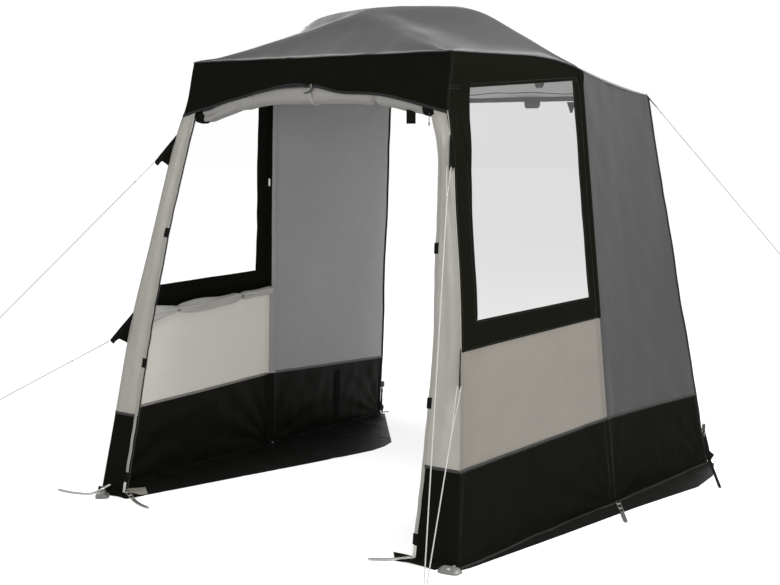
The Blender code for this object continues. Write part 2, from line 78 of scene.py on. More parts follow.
# Fine sizes that only the looks need
WALL_FOOT_Z, FLAP_START, RIGHT_FLAP_FRONT = 0.0016, 0.004, ((0.0, 0.998),)
LEG_SWAY = {-1: ((1.77, 0.12, -0.021), (0.75, 0.30, 0.017)),
            1: ((1.74, 0.13, -0.033), (1.40, 0.28, -0.017))}
ARCH_DRAPE = ((0.15, 0.17, 0.030), (-0.02, 0.035, 0.008))
DOOR_TIE_X, BLIND_TIES, WALL_STRAP_SHARE = 0.324, (0.26, 0.72), 0.575
FILM_END_LEFT, FILM_LOW_Z_LEFT = 0.862, (0.929, 0.945)
FILM_BINDING = ((0.90, 1.15, 1.31, 1.48, 1.60, 1.66, 1.73, 1.80, 1.92),
                (0.009, 0.012, 0.012, 0.019, 0.036, 0.048, 0.061, 0.055, 0.040))
DOOR_EDGE_HUMPS = ((1.55, 0.10, 0.010), (1.10, 0.28, -0.014))
DOOR_EDGE_STEPS = ((1.60, 0.11, -0.014), (1.70, 0.10, -0.008), (1.0, -0.4, -0.007))
ROOF_ROUND, BLUR, PLACES, TINY = 0.12, 0.035, 133, 1e-6
TAB_HEIGHTS, SLEEVE_HALF, SLEEVE_RISE, SLEEVE_TOP_Z = (1.185, 0.596, 0.082), 0.042, 0.0235, 1.885
LAID, STITCH_STEP, TOOTH_STEP = 0.0002, 0.0085, 0.0042
STITCH_OFF, SLEEVE_STITCH_OFF, FILM_STITCH_OFF = 0.006, 0.0116, 0.007
WALL_STRAP_Z, CORNER_SLEEVE_TOP_Z, SLEEVE_BULGE = (0.05, 0.325), 1.495, (1.872, 0.022)
FILM_BINDING_LOW_Z, FILM_BINDING_TOP_Z, TOGGLE_Z = {-1: 1.17, 1: 0.91}, 1.925, (1.368, 1.408)
ROLL_LOOP_X, ROLL_LOOP_SHIFT = (0.652, 0.642, 0.616, 0.588), {-1: 0.042, 1: 0}
BEADS, BEAD_STEP, TIE_RADIUS, TIE_PITCH = 6, 0.0058, 0.0475, 0.004
REAR_SEAM_SHARE, REAR_SLEEVE_HALF, REAR_SLEEVE_RADIUS = 0.86, 0.735, 0.0108
REAR_CLIP_X, REAR_CLIP_RADIUS = (0.094, 0.100, 0.172, 0.179), 0.017
WEAVE_PITCH, STRAP_PITCH, WAVE_SCALE, BAND_WIDE, CREASE = 0.0011, 0.0016, 0.314, 0.1, 55
KNOT_OUTLINE = ((0, 0.0008), (0.002, 0.0032), (0.006, 0.0040), (0.010, 0.0032), (0.012, 0.0008))
BEAD_OUTLINE = ((0, 0.0006), (0.0015, 0.0020), (0.0035, 0.0020), (0.005, 0.0006))
PEG_OUTLINE = ((0.0, 0.0042), (0.001, 0.005), (0.0690, 0.005), (0.0700, 0.0110), (0.0712, 0.0130),
               (0.0738, 0.0130), (0.0750, 0.0112))
PATCH_OUTLINE = ((0.0006, -0.014), (0.030, 0.007), (0.049, -0.011), (0.061, 0.004), (0.0006, 0.125))
FOOT_WEDGE, PATCH_TURN = (0.088, 0.062), {-1: (0.38, 0.38), 1: (0.36, 0.54)}
RIVET_OUTLINE = ((0, 0.0075), (0.0018, 0.0072), (0.0032, 0.0035))
SIDE_PEG = ((1.036, 1.199, 0.010), (1.058, 1.165, 0.007), (1.105, 1.098, 0.004), (1.155, 1.022, 0.003),
            (1.20, 0.955, 0.0025))
FRONT_PEGS = (("left_outer", ((-0.928, 0.000, 0.034), (-0.935, -0.050, 0.020), (-0.958, -0.088, 0.006),
                              (-1.02, -0.112, 0.0030), (-1.080, -0.124, 0.0035), (-1.143, -0.123, 0.0035)),
               0.48, 0.016, 0.0070),
              ("left_inner", ((-0.840, 0.014, 0.016), (-0.775, -0.018, 0.010), (-0.706, -0.052, 0.0035),
                              (-0.640, -0.078, 0.0025), (-0.575, -0.095, 0.0030)), 0.42, 0.021, 0.0055),
              ("right", ((0.790, -0.004, 0.016), (0.750, -0.032, 0.011), (0.705, -0.064, 0.006),
                         (0.640, -0.098, 0.0042)), 0.30, 0.018, 0.0080))
FRONT_HEM = ((0.752, -0.046, 0.0024), (0.940, -0.050, 0.0024), (0.985, 0.001, 0.016), (0.700, 0.014, 0.012))
REAR_STRAP = ((1.010, 2.235, 0.004), (1.10, 2.07, 0.0025), (1.19, 1.905, 0.0025), (1.281, 1.739, 0.0025))
KHAKI_CORNER = ((-0.900, 0.055, 0.007), (-0.776, -0.004, 0.007), (-0.752, 0.066, 0.006),
                (-0.845, 0.140, 0.006))
HOOK = ((0.020, 0, 0.026), (0.026, -0.002, 0.010), (0.014, -0.003, -0.004), (-0.014, -0.002, -0.008))
FILM_BEHIND, FILM_THICK, ROLL_TURNS = 0.0003, 0.0006, 7
FLOOR_REACH, FLOOR_Z = 60.0, -0.0008
CELL, SHEET, STEP = 0.0125, 0.0012, 1e-4

# Height, wavelength and seed of the swells in the cloth
WALL_SWELLS, FOOT_SWELLS = ((0.0016, 0.46, 3), (0.0006, 0.17, 4)), ((0.0010, 0.15, 9),)
ROOF_SWELLS = ((0.0022, 0.42, 31), (0.0007, 0.15, 32))
REAR_ROOF_SWELLS = ((0.0030, 0.45, 41), (0.0009, 0.16, 42))

# Height, count, reach and seed of the folds that spread from a corner
WALL_START_FAN, WALL_END_FAN = (0.0028, 15, 0.16, 2), (0.0028, 15, 0.16, 5)
WALL_TOP_FAN = (0.0008, 11, 0.15, 1.5)
ROOF_FRONT_FAN, ROOF_REAR_FAN = (0.0045, 11, 0.085, 0.4), (0.0040, 9, 0.09, 2.0)
REAR_ROOF_FAN = (0.004, 9, 0.11, 1.0)

# Distances over which the seams hold the cloth still, and how far it hangs in or puffs out between them
WALL_HELD, FRONT_HELD, ROOF_HELD, REAR_ROOF_HELD = 0.09, 0.07, 0.12, (0.15, 0.12, 0.06)
FRONT_BAY_HANG, REAR_BAY_HANG, PANEL_PUFF = 0.004, 0.010, 0.007
STREAK_HEIGHT, STREAK_PITCH, STREAK_Z = 0.0022, 0.042, (1.74, 1.78)

# Width and thickness of tapes, straps and sleeves, and the radius of piping
SEAM_TAPE_SIZE, LINING_TAPE_SIZE, FRONT_TAPE_SIZE = (0.011, 0.0016), (0.013, 0.0016), (0.012, 0.0016)
REAR_BINDING, ARCH_BINDING, WALL_STRAP = (0.014, 0.0042), (0.012, 0.0032), (0.045, 0.0018)
MID_SLEEVE, ROOF_SLEEVE, CORNER_SLEEVE = (0.026, 0.0035), (0.030, 0.0020), (0.024, 0.0014)
DOOR_FACING, DOOR_WEBBING, DOOR_TAB, TAB_SUNK = (0.016, 0.0022), (0.015, 0.0018), (0.024, 0.0075), 0.0060
ZIP, PATCH_EDGE, GUY_TAB, GROUND_STRAP = (0.009, 0.0014), (0.018, 0.0038), (0.014, 0.0026), (0.014, 0.0024)
HANGING_WEBBING, DOOR_TIE, REAR_FLARE = (0.040, 0.002), (0.020, 0.002), (0.022, 0.0022)
REAR_TAB_THICK = 0.0022
EAVE_PIPING, REAR_EAVE_PIPING, EDGE_PIPING, ROOF_PIPING, ROOF_SEAM = 0.0026, 0.0020, 0.0034, 0.0042, 0.0024

SIDES = (("left", -1), ("right", 1))
UP, AHEAD, ALONG = (0, 0, 1), (0, 1, 0), (1, 0, 0)


def mix(a, b, share):
    return a + (b - a) * share


def blend(a, b, share):
    """Points on the way from a to b."""
    return a + (b - a) * np.asarray(share)[..., None]


def spot(x, depth, z):
    """Points from half width, depth behind the front feet, and height."""
    return np.stack(np.broadcast_arrays(np.float64(x), np.float64(depth) - CENTRE_DEPTH, np.float64(z)), -1)


def ease(share):
    """A smooth step from 0 to 1."""
    share = np.clip(share, 0, 1)
    return share * share * (3 - 2 * share)


def unit(vectors):
    return vectors / np.maximum(np.linalg.norm(vectors, axis=-1, keepdims=True), 1e-12)


def bump(value, middle, reach):
    """A smooth hump, 1 at its middle, that dies away over its reach."""
    return np.exp(-((value - middle) / reach) ** 2)


def arc(share):
    """A sine that rises from 0 to 1 halfway along and falls back to 0."""
    return np.sin(math.pi * np.clip(share, 0, 1))


def front_depth(z):
    return mix(FRONT_FOOT[1], FRONT_EAVE[1], z / EAVE_Z)


def front_leg(side, z):
    """The front corner seam, bowed outwards."""
    k = z / EAVE_Z
    half = mix(FRONT_FOOT[0], FRONT_EAVE[0], k) + FRONT_LEG_BOW * 4 * k * (1 - k)
    for height, reach, out in LEG_SWAY[side]:
        half = half + out * bump(z, height, reach)
    return spot(side * half, front_depth(z), z)


def leg_reach(x, z):
    """How far the front corner seam is from the middle, on the side that x is on."""
    return np.where(np.asarray(x) < 0, -front_leg(-1, z)[..., 0], front_leg(1, z)[..., 0])


def mid_leg(side, z):
    """The seam over the rear pair of legs."""
    k = z / EAVE_Z
    return spot(side * mix(MID_FOOT[0], MID_EAVE[0], k), mix(MID_FOOT[1], MID_EAVE[1], k), z)


def rear_edge(side, z):
    """The free edge of the side wall at the rear opening."""
    k = z / REAR_TOP_Z
    return spot(side * mix(REAR_FOOT[0], REAR_TOP[0], k), mix(REAR_FOOT[1], REAR_TOP[1], k), z)


def front_bay(side, share, z):
    return blend(front_leg(side, z), mid_leg(side, z), share)


def rear_bay(side, share, z):
    return blend(mid_leg(side, z), rear_edge(side, z), share)


def eave_z(share):
    """Height of the side eave: level from the front, easing down over the rear leg."""
    fall = np.maximum(0, (share - 0.55) / 0.45)
    return EAVE_Z - (EAVE_Z - MID_EAVE_Z) * fall * fall


def rear_top_z(share):
    return mix(MID_EAVE_Z, REAR_TOP_Z, share) - REAR_TOP_SAG * 4 * share * (1 - share)


def between(pair):
    """A seam height that changes evenly from one end of a bay to the other."""
    return lambda share: mix(*pair, share)


MUD_SEAMS = ((front_bay, between(MUD_SEAM_Z[:2])), (rear_bay, between(MUD_SEAM_Z[1:])))


def arch_z(x):
    """Lower edge of the fascia over the doorway, which hangs a little lower on the right."""
    drape = sum(deep * bump(x, middle, reach) for middle, reach, deep in ARCH_DRAPE)
    return ARCH_CROWN_Z - ARCH_RISE * (np.hypot(x, ARCH_SOFTEN) / ARCH_HALF) ** ARCH_POWER - drape


def door_edge_x(side, z):
    """Distance of a doorway's edge from the middle; it narrows at the top, and its foot leans left."""
    rise = np.maximum(0, (z - DOOR_EDGE_BEND_Z) / (DOOR_PANEL_TOP_Z - DOOR_EDGE_BEND_Z))
    left = 0.038 * np.clip((1 - z) / 0.95, 0, 1) ** 1.3
    right = sum(out * bump(z, height, reach) for height, reach, out in DOOR_EDGE_HUMPS)
    right = right + sum(out * ease((z - height) / reach) for height, reach, out in DOOR_EDGE_STEPS)
    lean = np.where(np.asarray(side) < 0, left, right)
    return DOOR_EDGE_X - DOOR_EDGE_TAPER * rise ** DOOR_EDGE_POWER + lean


def soft_profile(table, reach):
    """A height off a short table, with its corners rounded as cloth rounds over a pole."""
    places, heights = zip(*table)
    blur = BLUR * np.clip((1 - reach) / BLUR, 0, 1)
    near = [np.interp(np.abs(reach + k * blur), places, heights) for k in np.linspace(-1, 1, 9)]
    return sum(near) / len(near)


def ridge_rise(u):
    return RIDGE_RISE * (1 - np.abs(u) ** RIDGE_POWER)


def roof_height(u, v):
    """Rise of the dome over the eaves, from -1 to 1 across and from -1, front, to 1, rear."""
    across = np.maximum(np.abs(u), TINY)
    reach = np.clip(np.maximum(across, np.abs(v)), 0, 1)
    turn = np.clip((v / across + 1) / 2, 0, 1)
    saddle = SIDE_SADDLE * 4 * turn * (1 - turn) * 4 * reach * (1 - reach)
    height = ROOF_RISE * (mix(soft_profile(FRONT_HIP, reach), soft_profile(REAR_HIP, reach), turn) - saddle)
    run_out = np.maximum(0, (reach - RUN_OUT_START) / (1 - RUN_OUT_START))
    return height + np.where(v >= across, ridge_rise(u / np.maximum(reach, GAP)) * run_out, 0)


def roof_under(u, v):
    """A point of the underside of the roof cloth, over the eave lines of the four walls."""
    share = np.where(v < 0, ROOF_CENTRE * (1 + v), mix(ROOF_CENTRE, 1.0, v))
    left, right = front_bay(-1, share, eave_z(share)), front_bay(1, share, eave_z(share))
    point = blend(left, right, (u + 1) / 2)
    point[..., 2] += GAP + roof_height(u, v)
    return point


def swell(points, length, seed, waves=14):
    """A smooth, irregular swell over space with about the given wavelength, mostly within -1 to 1."""
    dice = np.random.default_rng(seed)
    turn = unit(dice.normal(size=(waves, 3))) * (2 * math.pi / length * dice.uniform(0.7, 1.4, (waves, 1)))
    return np.sin(points @ turn.T + dice.uniform(0, 2 * math.pi, waves)).sum(-1) / math.sqrt(waves / 2)


def swells(points, rows):
    return sum(height * swell(points, length, seed) for height, length, seed in rows)


def fan(a, b, folds, shift=0):
    """Folds that spread from a corner; a and b are distances from it along and up the cloth."""
    height, count, reach, seed = folds
    r, angle = np.hypot(a, b) / reach, np.arctan2(b, a)
    wave = np.sin(count * angle + seed + shift + 0.7 * np.sin(2.3 * angle + seed + shift))
    return height * wave * r * np.exp(1 - r)


def bay_length(bay, side, z):
    return np.linalg.norm(bay(side, np.ones_like(z), z) - bay(side, np.zeros_like(z), z), axis=-1)


def wall_point(side, bay, share, z):
    """Points and outward normals of the outer face of a side wall, with the cloth's own swell in it."""
    share, z = np.broadcast_arrays(np.asarray(share, float), np.asarray(z, float))
    base = bay(side, share, z)
    along = bay(side, share + STEP, z) - bay(side, share - STEP, z)
    rising = bay(side, share, z + STEP) - bay(side, share, z - STEP)
    normal = unit(np.cross(along, rising)) * side
    long = bay_length(bay, side, z)
    a, b = share * long, (1 - share) * long
    held = ease(a / WALL_HELD) * (1 if bay is rear_bay else ease(b / WALL_HELD))
    low = ease((0.42 - z) / 0.16)
    ripple = swells(base, WALL_SWELLS) * (1 + 0.9 * low) + low * swells(base * (1, 1.6, 0.8), FOOT_SWELLS)
    corner = fan(a, z, WALL_START_FAN, side) + fan(b, z, WALL_END_FAN, side)
    if bay is rear_bay:
        corner = corner + fan(b, MID_EAVE_Z - z, WALL_TOP_FAN)
        ripple = ripple - REAR_BAY_HANG * arc(share) * ease(z / 0.5)
    else:
        ripple = ripple - FRONT_BAY_HANG * arc(share)
    give = ripple * held + corner * ease(a / 0.03)
    return base + normal * give[..., None], normal


def front_point(x, z):
    """Points and outward normals of the sloping front face."""
    x, z = np.broadcast_arrays(np.asarray(x, float), np.asarray(z, float))
    base = spot(x, front_depth(z), z)
    normal = unit(np.array((0.0, -EAVE_Z, FRONT_EAVE[1])))
    edge = leg_reach(x, z) - np.abs(x)
    ripple = 0.0016 * swell(base * (1.6, 1, 0.7), 0.30, 21) + 0.0009 * swell(base, 0.12, 22)
    low, middle = STREAK_Z
    streak = np.sin((z - middle) * 2 * math.pi / STREAK_PITCH + 9 * (edge - 0.1) + 1.3 * swell(base, 0.4, 8))
    streak = STREAK_HEIGHT * streak * ease(edge / 0.03) * np.exp(-edge / 0.16) * ease((z - low) / 0.05)
    wide = leg_reach(x, z) - door_edge_x(x, np.minimum(z, DOOR_PANEL_TOP_Z))
    puff = arc(edge / wide) ** 0.8 * ease((DOOR_PANEL_TOP_Z - z) / 0.15)
    fold = np.sin(edge / wide * 15 + 1.5 * swell(base * (0.3, 0.3, 1), 0.8, 26))
    puff = PANEL_PUFF * puff * (0.85 + 0.3 * swell(base * (0.2, 0.2, 1), 0.5, 25) + 0.22 * fold)
    give = ripple * ease(edge / FRONT_HELD) + puff + streak * ease((EAVE_Z - z) / 0.03)
    return base + normal * give[..., None], np.broadcast_to(normal, base.shape)


def rounded_height(u, v):
    """Rise of the dome with its creases rounded, as stretched cloth rounds them."""
    edge = 1 - np.maximum(np.abs(u), np.abs(v))
    reach = ROOF_ROUND * ease(edge / 0.30)
    near = [roof_height(u + reach * share * math.cos(turn), v + reach * share * math.sin(turn))
            for turn in np.linspace(0, 2 * math.pi, 12, endpoint=False) for share in (0.45, 1.0)]
    return sum(near) / len(near)


def dome_change(u, v):
    """Height to add to the dome so that its creases are round and the lines over the poles stay in place."""
    reach = np.maximum(np.abs(u), np.abs(v))
    turn = np.clip((v / np.maximum(np.abs(u), TINY) + 1) / 2, 0, 1)
    front = roof_height(reach, -reach) - rounded_height(reach, -reach)
    rear = roof_height(reach, reach) - rounded_height(reach, reach)
    kept = mix(front, rear, turn) * bump(np.abs(u), np.abs(v), 0.35)
    return rounded_height(u, v) - roof_height(u, v) + kept


def roof_point(u, v):
    """Points of the top of the roof cloth."""
    u, v = np.broadcast_arrays(np.asarray(u, float), np.asarray(v, float))
    point = roof_under(u, v)
    point[..., 2] += CLOTH + dome_change(u, v)
    edge = 1 - np.maximum(np.abs(u), np.abs(v))
    crease = np.abs(np.abs(u) - np.abs(v))
    held = ease(edge / ROOF_HELD) * ease(crease / ROOF_HELD)
    sideways, ahead, behind = (1 - np.abs(u)) * FRONT_EAVE[0], (1 + v) * 0.56, (1 - v) * 0.52
    corner = fan(sideways, ahead, ROOF_FRONT_FAN) + fan(sideways, behind, ROOF_REAR_FAN) * ease(crease / 0.05)
    point[..., 2] += swells(point, ROOF_SWELLS) * held + corner * ease(edge / 0.05)
    return point


def rear_roof_point(u, share):
    """Points of the top of the roof that runs back to the rear opening."""
    u, share = np.broadcast_arrays(np.asarray(u, float), np.asarray(share, float))
    z = rear_top_z(share)
    point = blend(rear_bay(-1, share, z), rear_bay(1, share, z), (u + 1) / 2)
    point[..., 2] += GAP + ridge_rise(u) * np.maximum(1 - share, 0) ** RIDGE_FADE + CLOTH
    side, front, rear = REAR_ROOF_HELD
    held = ease((1 - np.abs(u)) / side) * ease(share / front) * ease((1 - share) / rear)
    point[..., 2] += swells(point, REAR_ROOF_SWELLS) * held
    point[..., 2] += fan((1 - np.abs(u)) * 0.8, share * 0.86, REAR_ROOF_FAN) * held
    return point


def lay_uv(mesh, uv):
    """Gives each loop the UV of its vertex, in metres."""
    layer = mesh.uv_layers.new(name="cloth")
    loops = np.empty(len(mesh.loops), dtype=np.int32)
    mesh.loops.foreach_get("vertex_index", loops)
    layer.uv.foreach_set("vector", np.ascontiguousarray(uv[loops], dtype=np.float32).ravel())


def add_object(name, data, finishes=()):
    for finish in finishes:
        data.materials.append(finish)
    made = bpy.data.objects.new(name, data)
    bpy.context.scene.collection.objects.link(made)
    return made


def smooth_object(name, mesh, uv, sharp, finishes):
    """An object of a mesh, shaded smooth up to the angle sharp, with a UV in metres at each vertex."""
    mesh.polygons.foreach_set("use_smooth", np.ones(len(mesh.polygons), dtype=bool))
    lay_uv(mesh, uv)
    mesh.set_sharp_from_angle(angle=math.radians(sharp))
    return add_object(name, mesh, finishes)


def quad_mesh(name, points, quads, uv, finishes, slots):
    """A smooth mesh of quads, built from arrays."""
    mesh = bpy.data.meshes.new(name)
    points, quads = np.asarray(points, dtype=np.float32), np.asarray(quads, dtype=np.int32)
    mesh.vertices.add(len(points))
    mesh.vertices.foreach_set("co", points.ravel())
    mesh.loops.add(quads.size)
    mesh.loops.foreach_set("vertex_index", quads.ravel())
    mesh.polygons.add(len(quads))
    mesh.polygons.foreach_set("loop_start", np.arange(0, quads.size, 4, dtype=np.int32))
    mesh.polygons.foreach_set("material_index", np.asarray(slots, dtype=np.int32))
    mesh.update(calc_edges=True)
    return smooth_object(name, mesh, uv, CREASE, finishes)


def run_lengths(grid, axis):
    """Distance along the rows or columns of a grid of points."""
    leg = np.linalg.norm(np.diff(grid, axis=axis), axis=-1)
    pad = [(0, 0), (0, 0)]
    pad[axis] = (1, 0)
    return np.cumsum(np.pad(leg, pad), axis=axis)


def cut_size(grid, kept):
    """Width and length of the rectangle a sheet is cut from, and its own area, in metres."""
    wide = float(run_lengths(grid, 1)[:, -1].max())
    long = float(run_lengths(grid, 0)[-1].max())
    diagonals = grid[1:, 1:] - grid[:-1, :-1], grid[1:, :-1] - grid[:-1, 1:]
    area = float(np.linalg.norm(np.cross(*diagonals), axis=-1)[kept].sum() / 2)
    return (round(wide, 3), round(long, 3)), round(min(area, wide * long), 5)


def cloth(name, face, finishes, node=None, thick=SHEET, holes=None):
    """A closed sheet: its outer face, an inner face one thickness behind, and a rim round every edge.

    face is a grid of points and the outward direction at each. finishes are the outer and inner cloth.
    holes marks the cells that are left open; such a frame is cut as one band of the width BAND_WIDE.
    """
    outer, normal = face
    rows, columns = outer.shape[:2]
    inner = outer - normal * thick
    count = rows * columns
    index = np.arange(count).reshape(rows, columns)
    cells = np.stack((index[:-1, :-1], index[:-1, 1:], index[1:, 1:], index[1:, :-1]), -1)
    kept = np.ones((rows - 1, columns - 1), bool) if holes is None else ~holes
    facing = np.cross(outer[1:, :-1] - outer[:-1, :-1], outer[:-1, 1:] - outer[:-1, :-1])
    flip = (facing * normal[:-1, :-1]).sum(-1)[kept].mean() > 0
    front = cells[kept][:, ::-1] if flip else cells[kept]
    walls = []
    padded = np.pad(kept, 1)
    for (down, over), (a, b) in (((-1, 0), (0, 1)), ((0, 1), (1, 2)), ((1, 0), (2, 3)), ((0, -1), (3, 0))):
        beside = padded[1 + down:rows + down, 1 + over:columns + over]
        edge = cells[kept & ~beside]
        start, end = edge[:, a if flip else b], edge[:, b if flip else a]
        walls.append(np.stack((start, end, end + count, start + count), -1))
    walls = np.concatenate(walls)
    quads = np.concatenate((front, front[:, ::-1] + count, walls))
    slots = np.concatenate((np.zeros(len(front)), np.ones(len(front)), np.zeros(len(walls))))
    uv = np.stack((run_lengths(outer, 1), run_lengths(outer, 0)), -1).reshape(-1, 2)
    points, uv = np.concatenate((outer.reshape(-1, 3), inner.reshape(-1, 3))), np.concatenate((uv, uv))
    used = np.unique(quads)
    renumber = np.zeros(len(points), dtype=np.int32)
    renumber[used] = np.arange(len(used))
    made = settle(quad_mesh(name, points[used], renumber[quads], uv[used], finishes, slots), node)
    flat, area = cut_size(outer, kept)
    if holes is not None:
        flat = (BAND_WIDE, round(area / BAND_WIDE, 3))


def sweep_rings(path, across, profile, sizes=None):
    """Rings of points: a profile carried along a path; across is the direction of its first axis."""
    path, profile = np.asarray(path, float), np.asarray(profile, float)
    run = unit(np.gradient(path, axis=0))
    side = np.broadcast_to(np.asarray(across, float), path.shape)
    side = unit(side - run * (side * run).sum(-1, keepdims=True))
    up = np.cross(run, side)
    size = np.ones((len(path), 2)) if sizes is None else np.asarray(sizes, float).reshape(len(path), -1)
    flat = np.broadcast_to(profile, (len(path),) + profile.shape[-2:])
    return (path[:, None] + side[:, None] * (flat[..., 0] * size[:, :1])[..., None]
            + up[:, None] * (flat[..., 1] * size[:, -1:])[..., None])


def add_rings(name, rings, finish, slot=None, node=None, sharp=40):
    """A closed bar through rings of points; the rings are turned round if they run the wrong way.

    Without a slot it is a part of a piece, which join settles.
    """
    count, ring = rings.shape[:2]
    first, last = rings[0] - rings[0].mean(0), rings[-1].mean(0) - rings[0].mean(0)
    ahead = rings[1].mean(0) - rings[0].mean(0) + last * 0.01
    if np.cross(first, np.roll(first, -1, axis=0)).sum(0) @ ahead < 0:
        rings = rings[:, ::-1]
    index = np.arange(count * ring).reshape(count, ring)
    after = np.roll(index, -1, axis=1)
    quads = np.stack((index[:-1], after[:-1], after[1:], index[1:]), -1).reshape(-1, 4)
    mesh = bpy.data.meshes.new(name)
    mesh.from_pydata(rings.reshape(-1, 3).tolist(), [],
                     quads.tolist() + [index[0][::-1].tolist(), index[-1].tolist()])
    uv = np.stack((run_lengths(rings, 0), run_lengths(rings, 1)), -1).reshape(-1, 2)
    made = smooth_object(name, mesh, uv, sharp, [finish])
    return settle(made, node) if slot else made


def settle(made, node=None):
    """Fixes a finished piece to the tent, and hides the node that it stands for."""
    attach(made, "root")
    if node:
        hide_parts(node)
    return made


def sweep(name, path, across, profile, finish, slot=None, node=None, sizes=None):
    """A closed bar of one profile along a path."""
    return add_rings(name, sweep_rings(path, across, profile, sizes), finish, slot, node)


def rod(name, path, radius, finish, slot=None, node=None, sides=10, across=UP, sizes=None):
    """A closed round bar along a path."""
    return sweep(name, path, across, round_profile(radius, sides), finish, slot, node, sizes)


def join(name, parts, node=None):
    """Joins several small solids into one piece."""
    with bpy.context.temp_override(active_object=parts[0], selected_editable_objects=parts):
        bpy.ops.object.join()
    made = parts[0]
    made.name = made.data.name = name
    settle(made, node)


def turned(name, centre, axis, outline, finish, count=20, slot=None, node=None):
    """A turned solid: outline pairs of distance along the axis and radius, closed at both ends."""
    axis = unit(np.asarray(axis, float))
    path = np.array([centre + axis * along for along, _ in outline])
    path = path + axis * np.linspace(0, TINY, len(path))[:, None]
    side = unit(np.cross(axis, UP if abs(axis[2]) < 0.9 else ALONG))
    up = np.cross(axis, side)
    turn = np.linspace(0, 2 * math.pi, count, endpoint=False)[:, None]
    radii = np.maximum([radius for _, radius in outline], 1e-5)[:, None, None]
    rings = path[:, None] + radii * (side * np.cos(turn) + up * np.sin(turn))[None]
    return add_rings(name, rings, finish, slot, node, sharp=35)


def round_profile(radius, count):
    turn = np.linspace(0, 2 * math.pi, count, endpoint=False)
    return np.stack((radius * np.cos(turn), radius * np.sin(turn)), -1)


def strap_profile(wide, thick, sunk=0.0):
    """A flat strap with eased edges, lying on its path or sunk below it."""
    w, t, e = wide / 2, thick, thick * 0.35
    corners = ((-w, e), (-w, t - e), (-w + e, t), (w - e, t), (w, t - e), (w, e), (w - e, 0), (-w + e, 0))
    return np.array(corners) - (0, sunk)


def wide_only(wide):
    """Sizes for a sweep that changes in width and not in thickness."""
    return np.stack((wide, np.ones_like(wide)), -1)


def curve_through(points, count):
    """An even run of points on a smooth curve through a few given ones."""
    points = np.asarray(points, float)
    ends = np.concatenate((2 * points[:1] - points[1:2], points, 2 * points[-1:] - points[-2:-1]))
    fine = []
    for a, b, c, d in zip(ends, ends[1:], ends[2:], ends[3:]):
        t = np.linspace(0, 1, 24, endpoint=False)[:, None]
        fine.append(0.5 * (2 * b + (c - a) * t + (2 * a - 5 * b + 4 * c - d) * t ** 2
                           + (3 * b - a - 3 * c + d) * t ** 3))
    fine = np.concatenate(fine + [points[-1:]])
    length = np.concatenate(([0], np.cumsum(np.linalg.norm(np.diff(fine, axis=0), axis=-1))))
    at = np.linspace(0, length[-1], count)
    return np.stack([np.interp(at, length, fine[:, k]) for k in range(3)], -1)


def new_finish(name):
    """A new material and its shader, a helper that adds a node and one that sets or links its sockets."""
    made = bpy.data.materials.new(name)
    made.use_nodes = True
    tree = made.node_tree

    def wire(node, sockets):
        for key, value in dict(sockets).items():
            if isinstance(value, bpy.types.NodeSocket):
                tree.links.new(value, node.inputs[key])
            else:
                node.inputs[key].default_value = value
        return node

    def add(kind, sockets=(), **settings):
        node = tree.nodes.new(kind)
        for key, value in settings.items():
            setattr(node, key, value)
        return wire(node, sockets)

    return made, tree.nodes["Principled BSDF"], add, wire


def spread(add, value, low, high, start=0.0, end=1.0):
    """A socket's value, moved from the range start to end into the range low to high."""
    return add("ShaderNodeMapRange", {"Value": value, "From Min": start, "From Max": end, "To Min": low,
                                      "To Max": high}).outputs["Result"]


def tinted(add, colour, shade):
    return add("ShaderNodeVectorMath", {0: colour[:3], "Scale": shade}, operation="SCALE").outputs[0]


def noise(add, place, scale, detail, **more):
    sockets = {"Vector": place, "Scale": scale, "Detail": detail, **more}
    return add("ShaderNodeTexNoise", sockets).outputs["Fac"]


def weave_height(add):
    """Height of a plain weave read from the cloth's own UV map: threads over and under each other."""
    uv = add("ShaderNodeUVMap", uv_map="cloth").outputs["UV"]
    sockets = {"Vector": uv, "Scale": WAVE_SCALE / WEAVE_PITCH}
    threads = [add("ShaderNodeTexWave", sockets, bands_direction=way).outputs["Fac"] for way in ("X", "Y")]
    return add("ShaderNodeMath", dict(enumerate(threads)), operation="MULTIPLY").outputs[0]


def cloth_finish(name, colour, roughness=0.85, gloss=0.1, sheen=0.03, through=0.0, glow=None,
                 crumple=0.5, mottle=0.06, fuzz=0.5):
    """Woven cloth: a fine weave, faint mottling, soft crumples, and some light let through."""
    made, shader, add, wire = new_finish(name)
    place = add("ShaderNodeTexCoord").outputs["Object"]
    broad, fine = noise(add, place, 2.3, 3.0), noise(add, place, 45.0, 4.0)
    both = add("ShaderNodeMath", {0: broad, 1: fine}, operation="ADD").outputs[0]
    shade = spread(add, both, 1 - mottle, 1 + mottle, 0.6, 1.4)
    soft = noise(add, place, 9.0, 5.0, Roughness=0.55)
    folds = add("ShaderNodeBump", {"Height": soft, "Strength": crumple, "Distance": 0.004})
    threads = add("ShaderNodeBump", {"Height": weave_height(add), "Strength": 0.35,
                                     "Distance": WEAVE_PITCH * 0.25, "Normal": folds.outputs["Normal"]})
    normal = threads.outputs["Normal"]
    wire(shader, {"Base Color": tinted(add, colour, shade), "Normal": normal, "Roughness": roughness,
                  "Specular IOR Level": gloss, "Sheen Weight": sheen, "Sheen Roughness": fuzz})
    if through:
        lit = add("ShaderNodeBsdfTranslucent", {"Color": (*glow, 1), "Normal": normal})
        both = add("ShaderNodeMixShader", {"Fac": through, 1: shader.outputs[0], 2: lit.outputs[0]})
        wire(made.node_tree.nodes["Material Output"], {"Surface": both.outputs[0]})
    return made


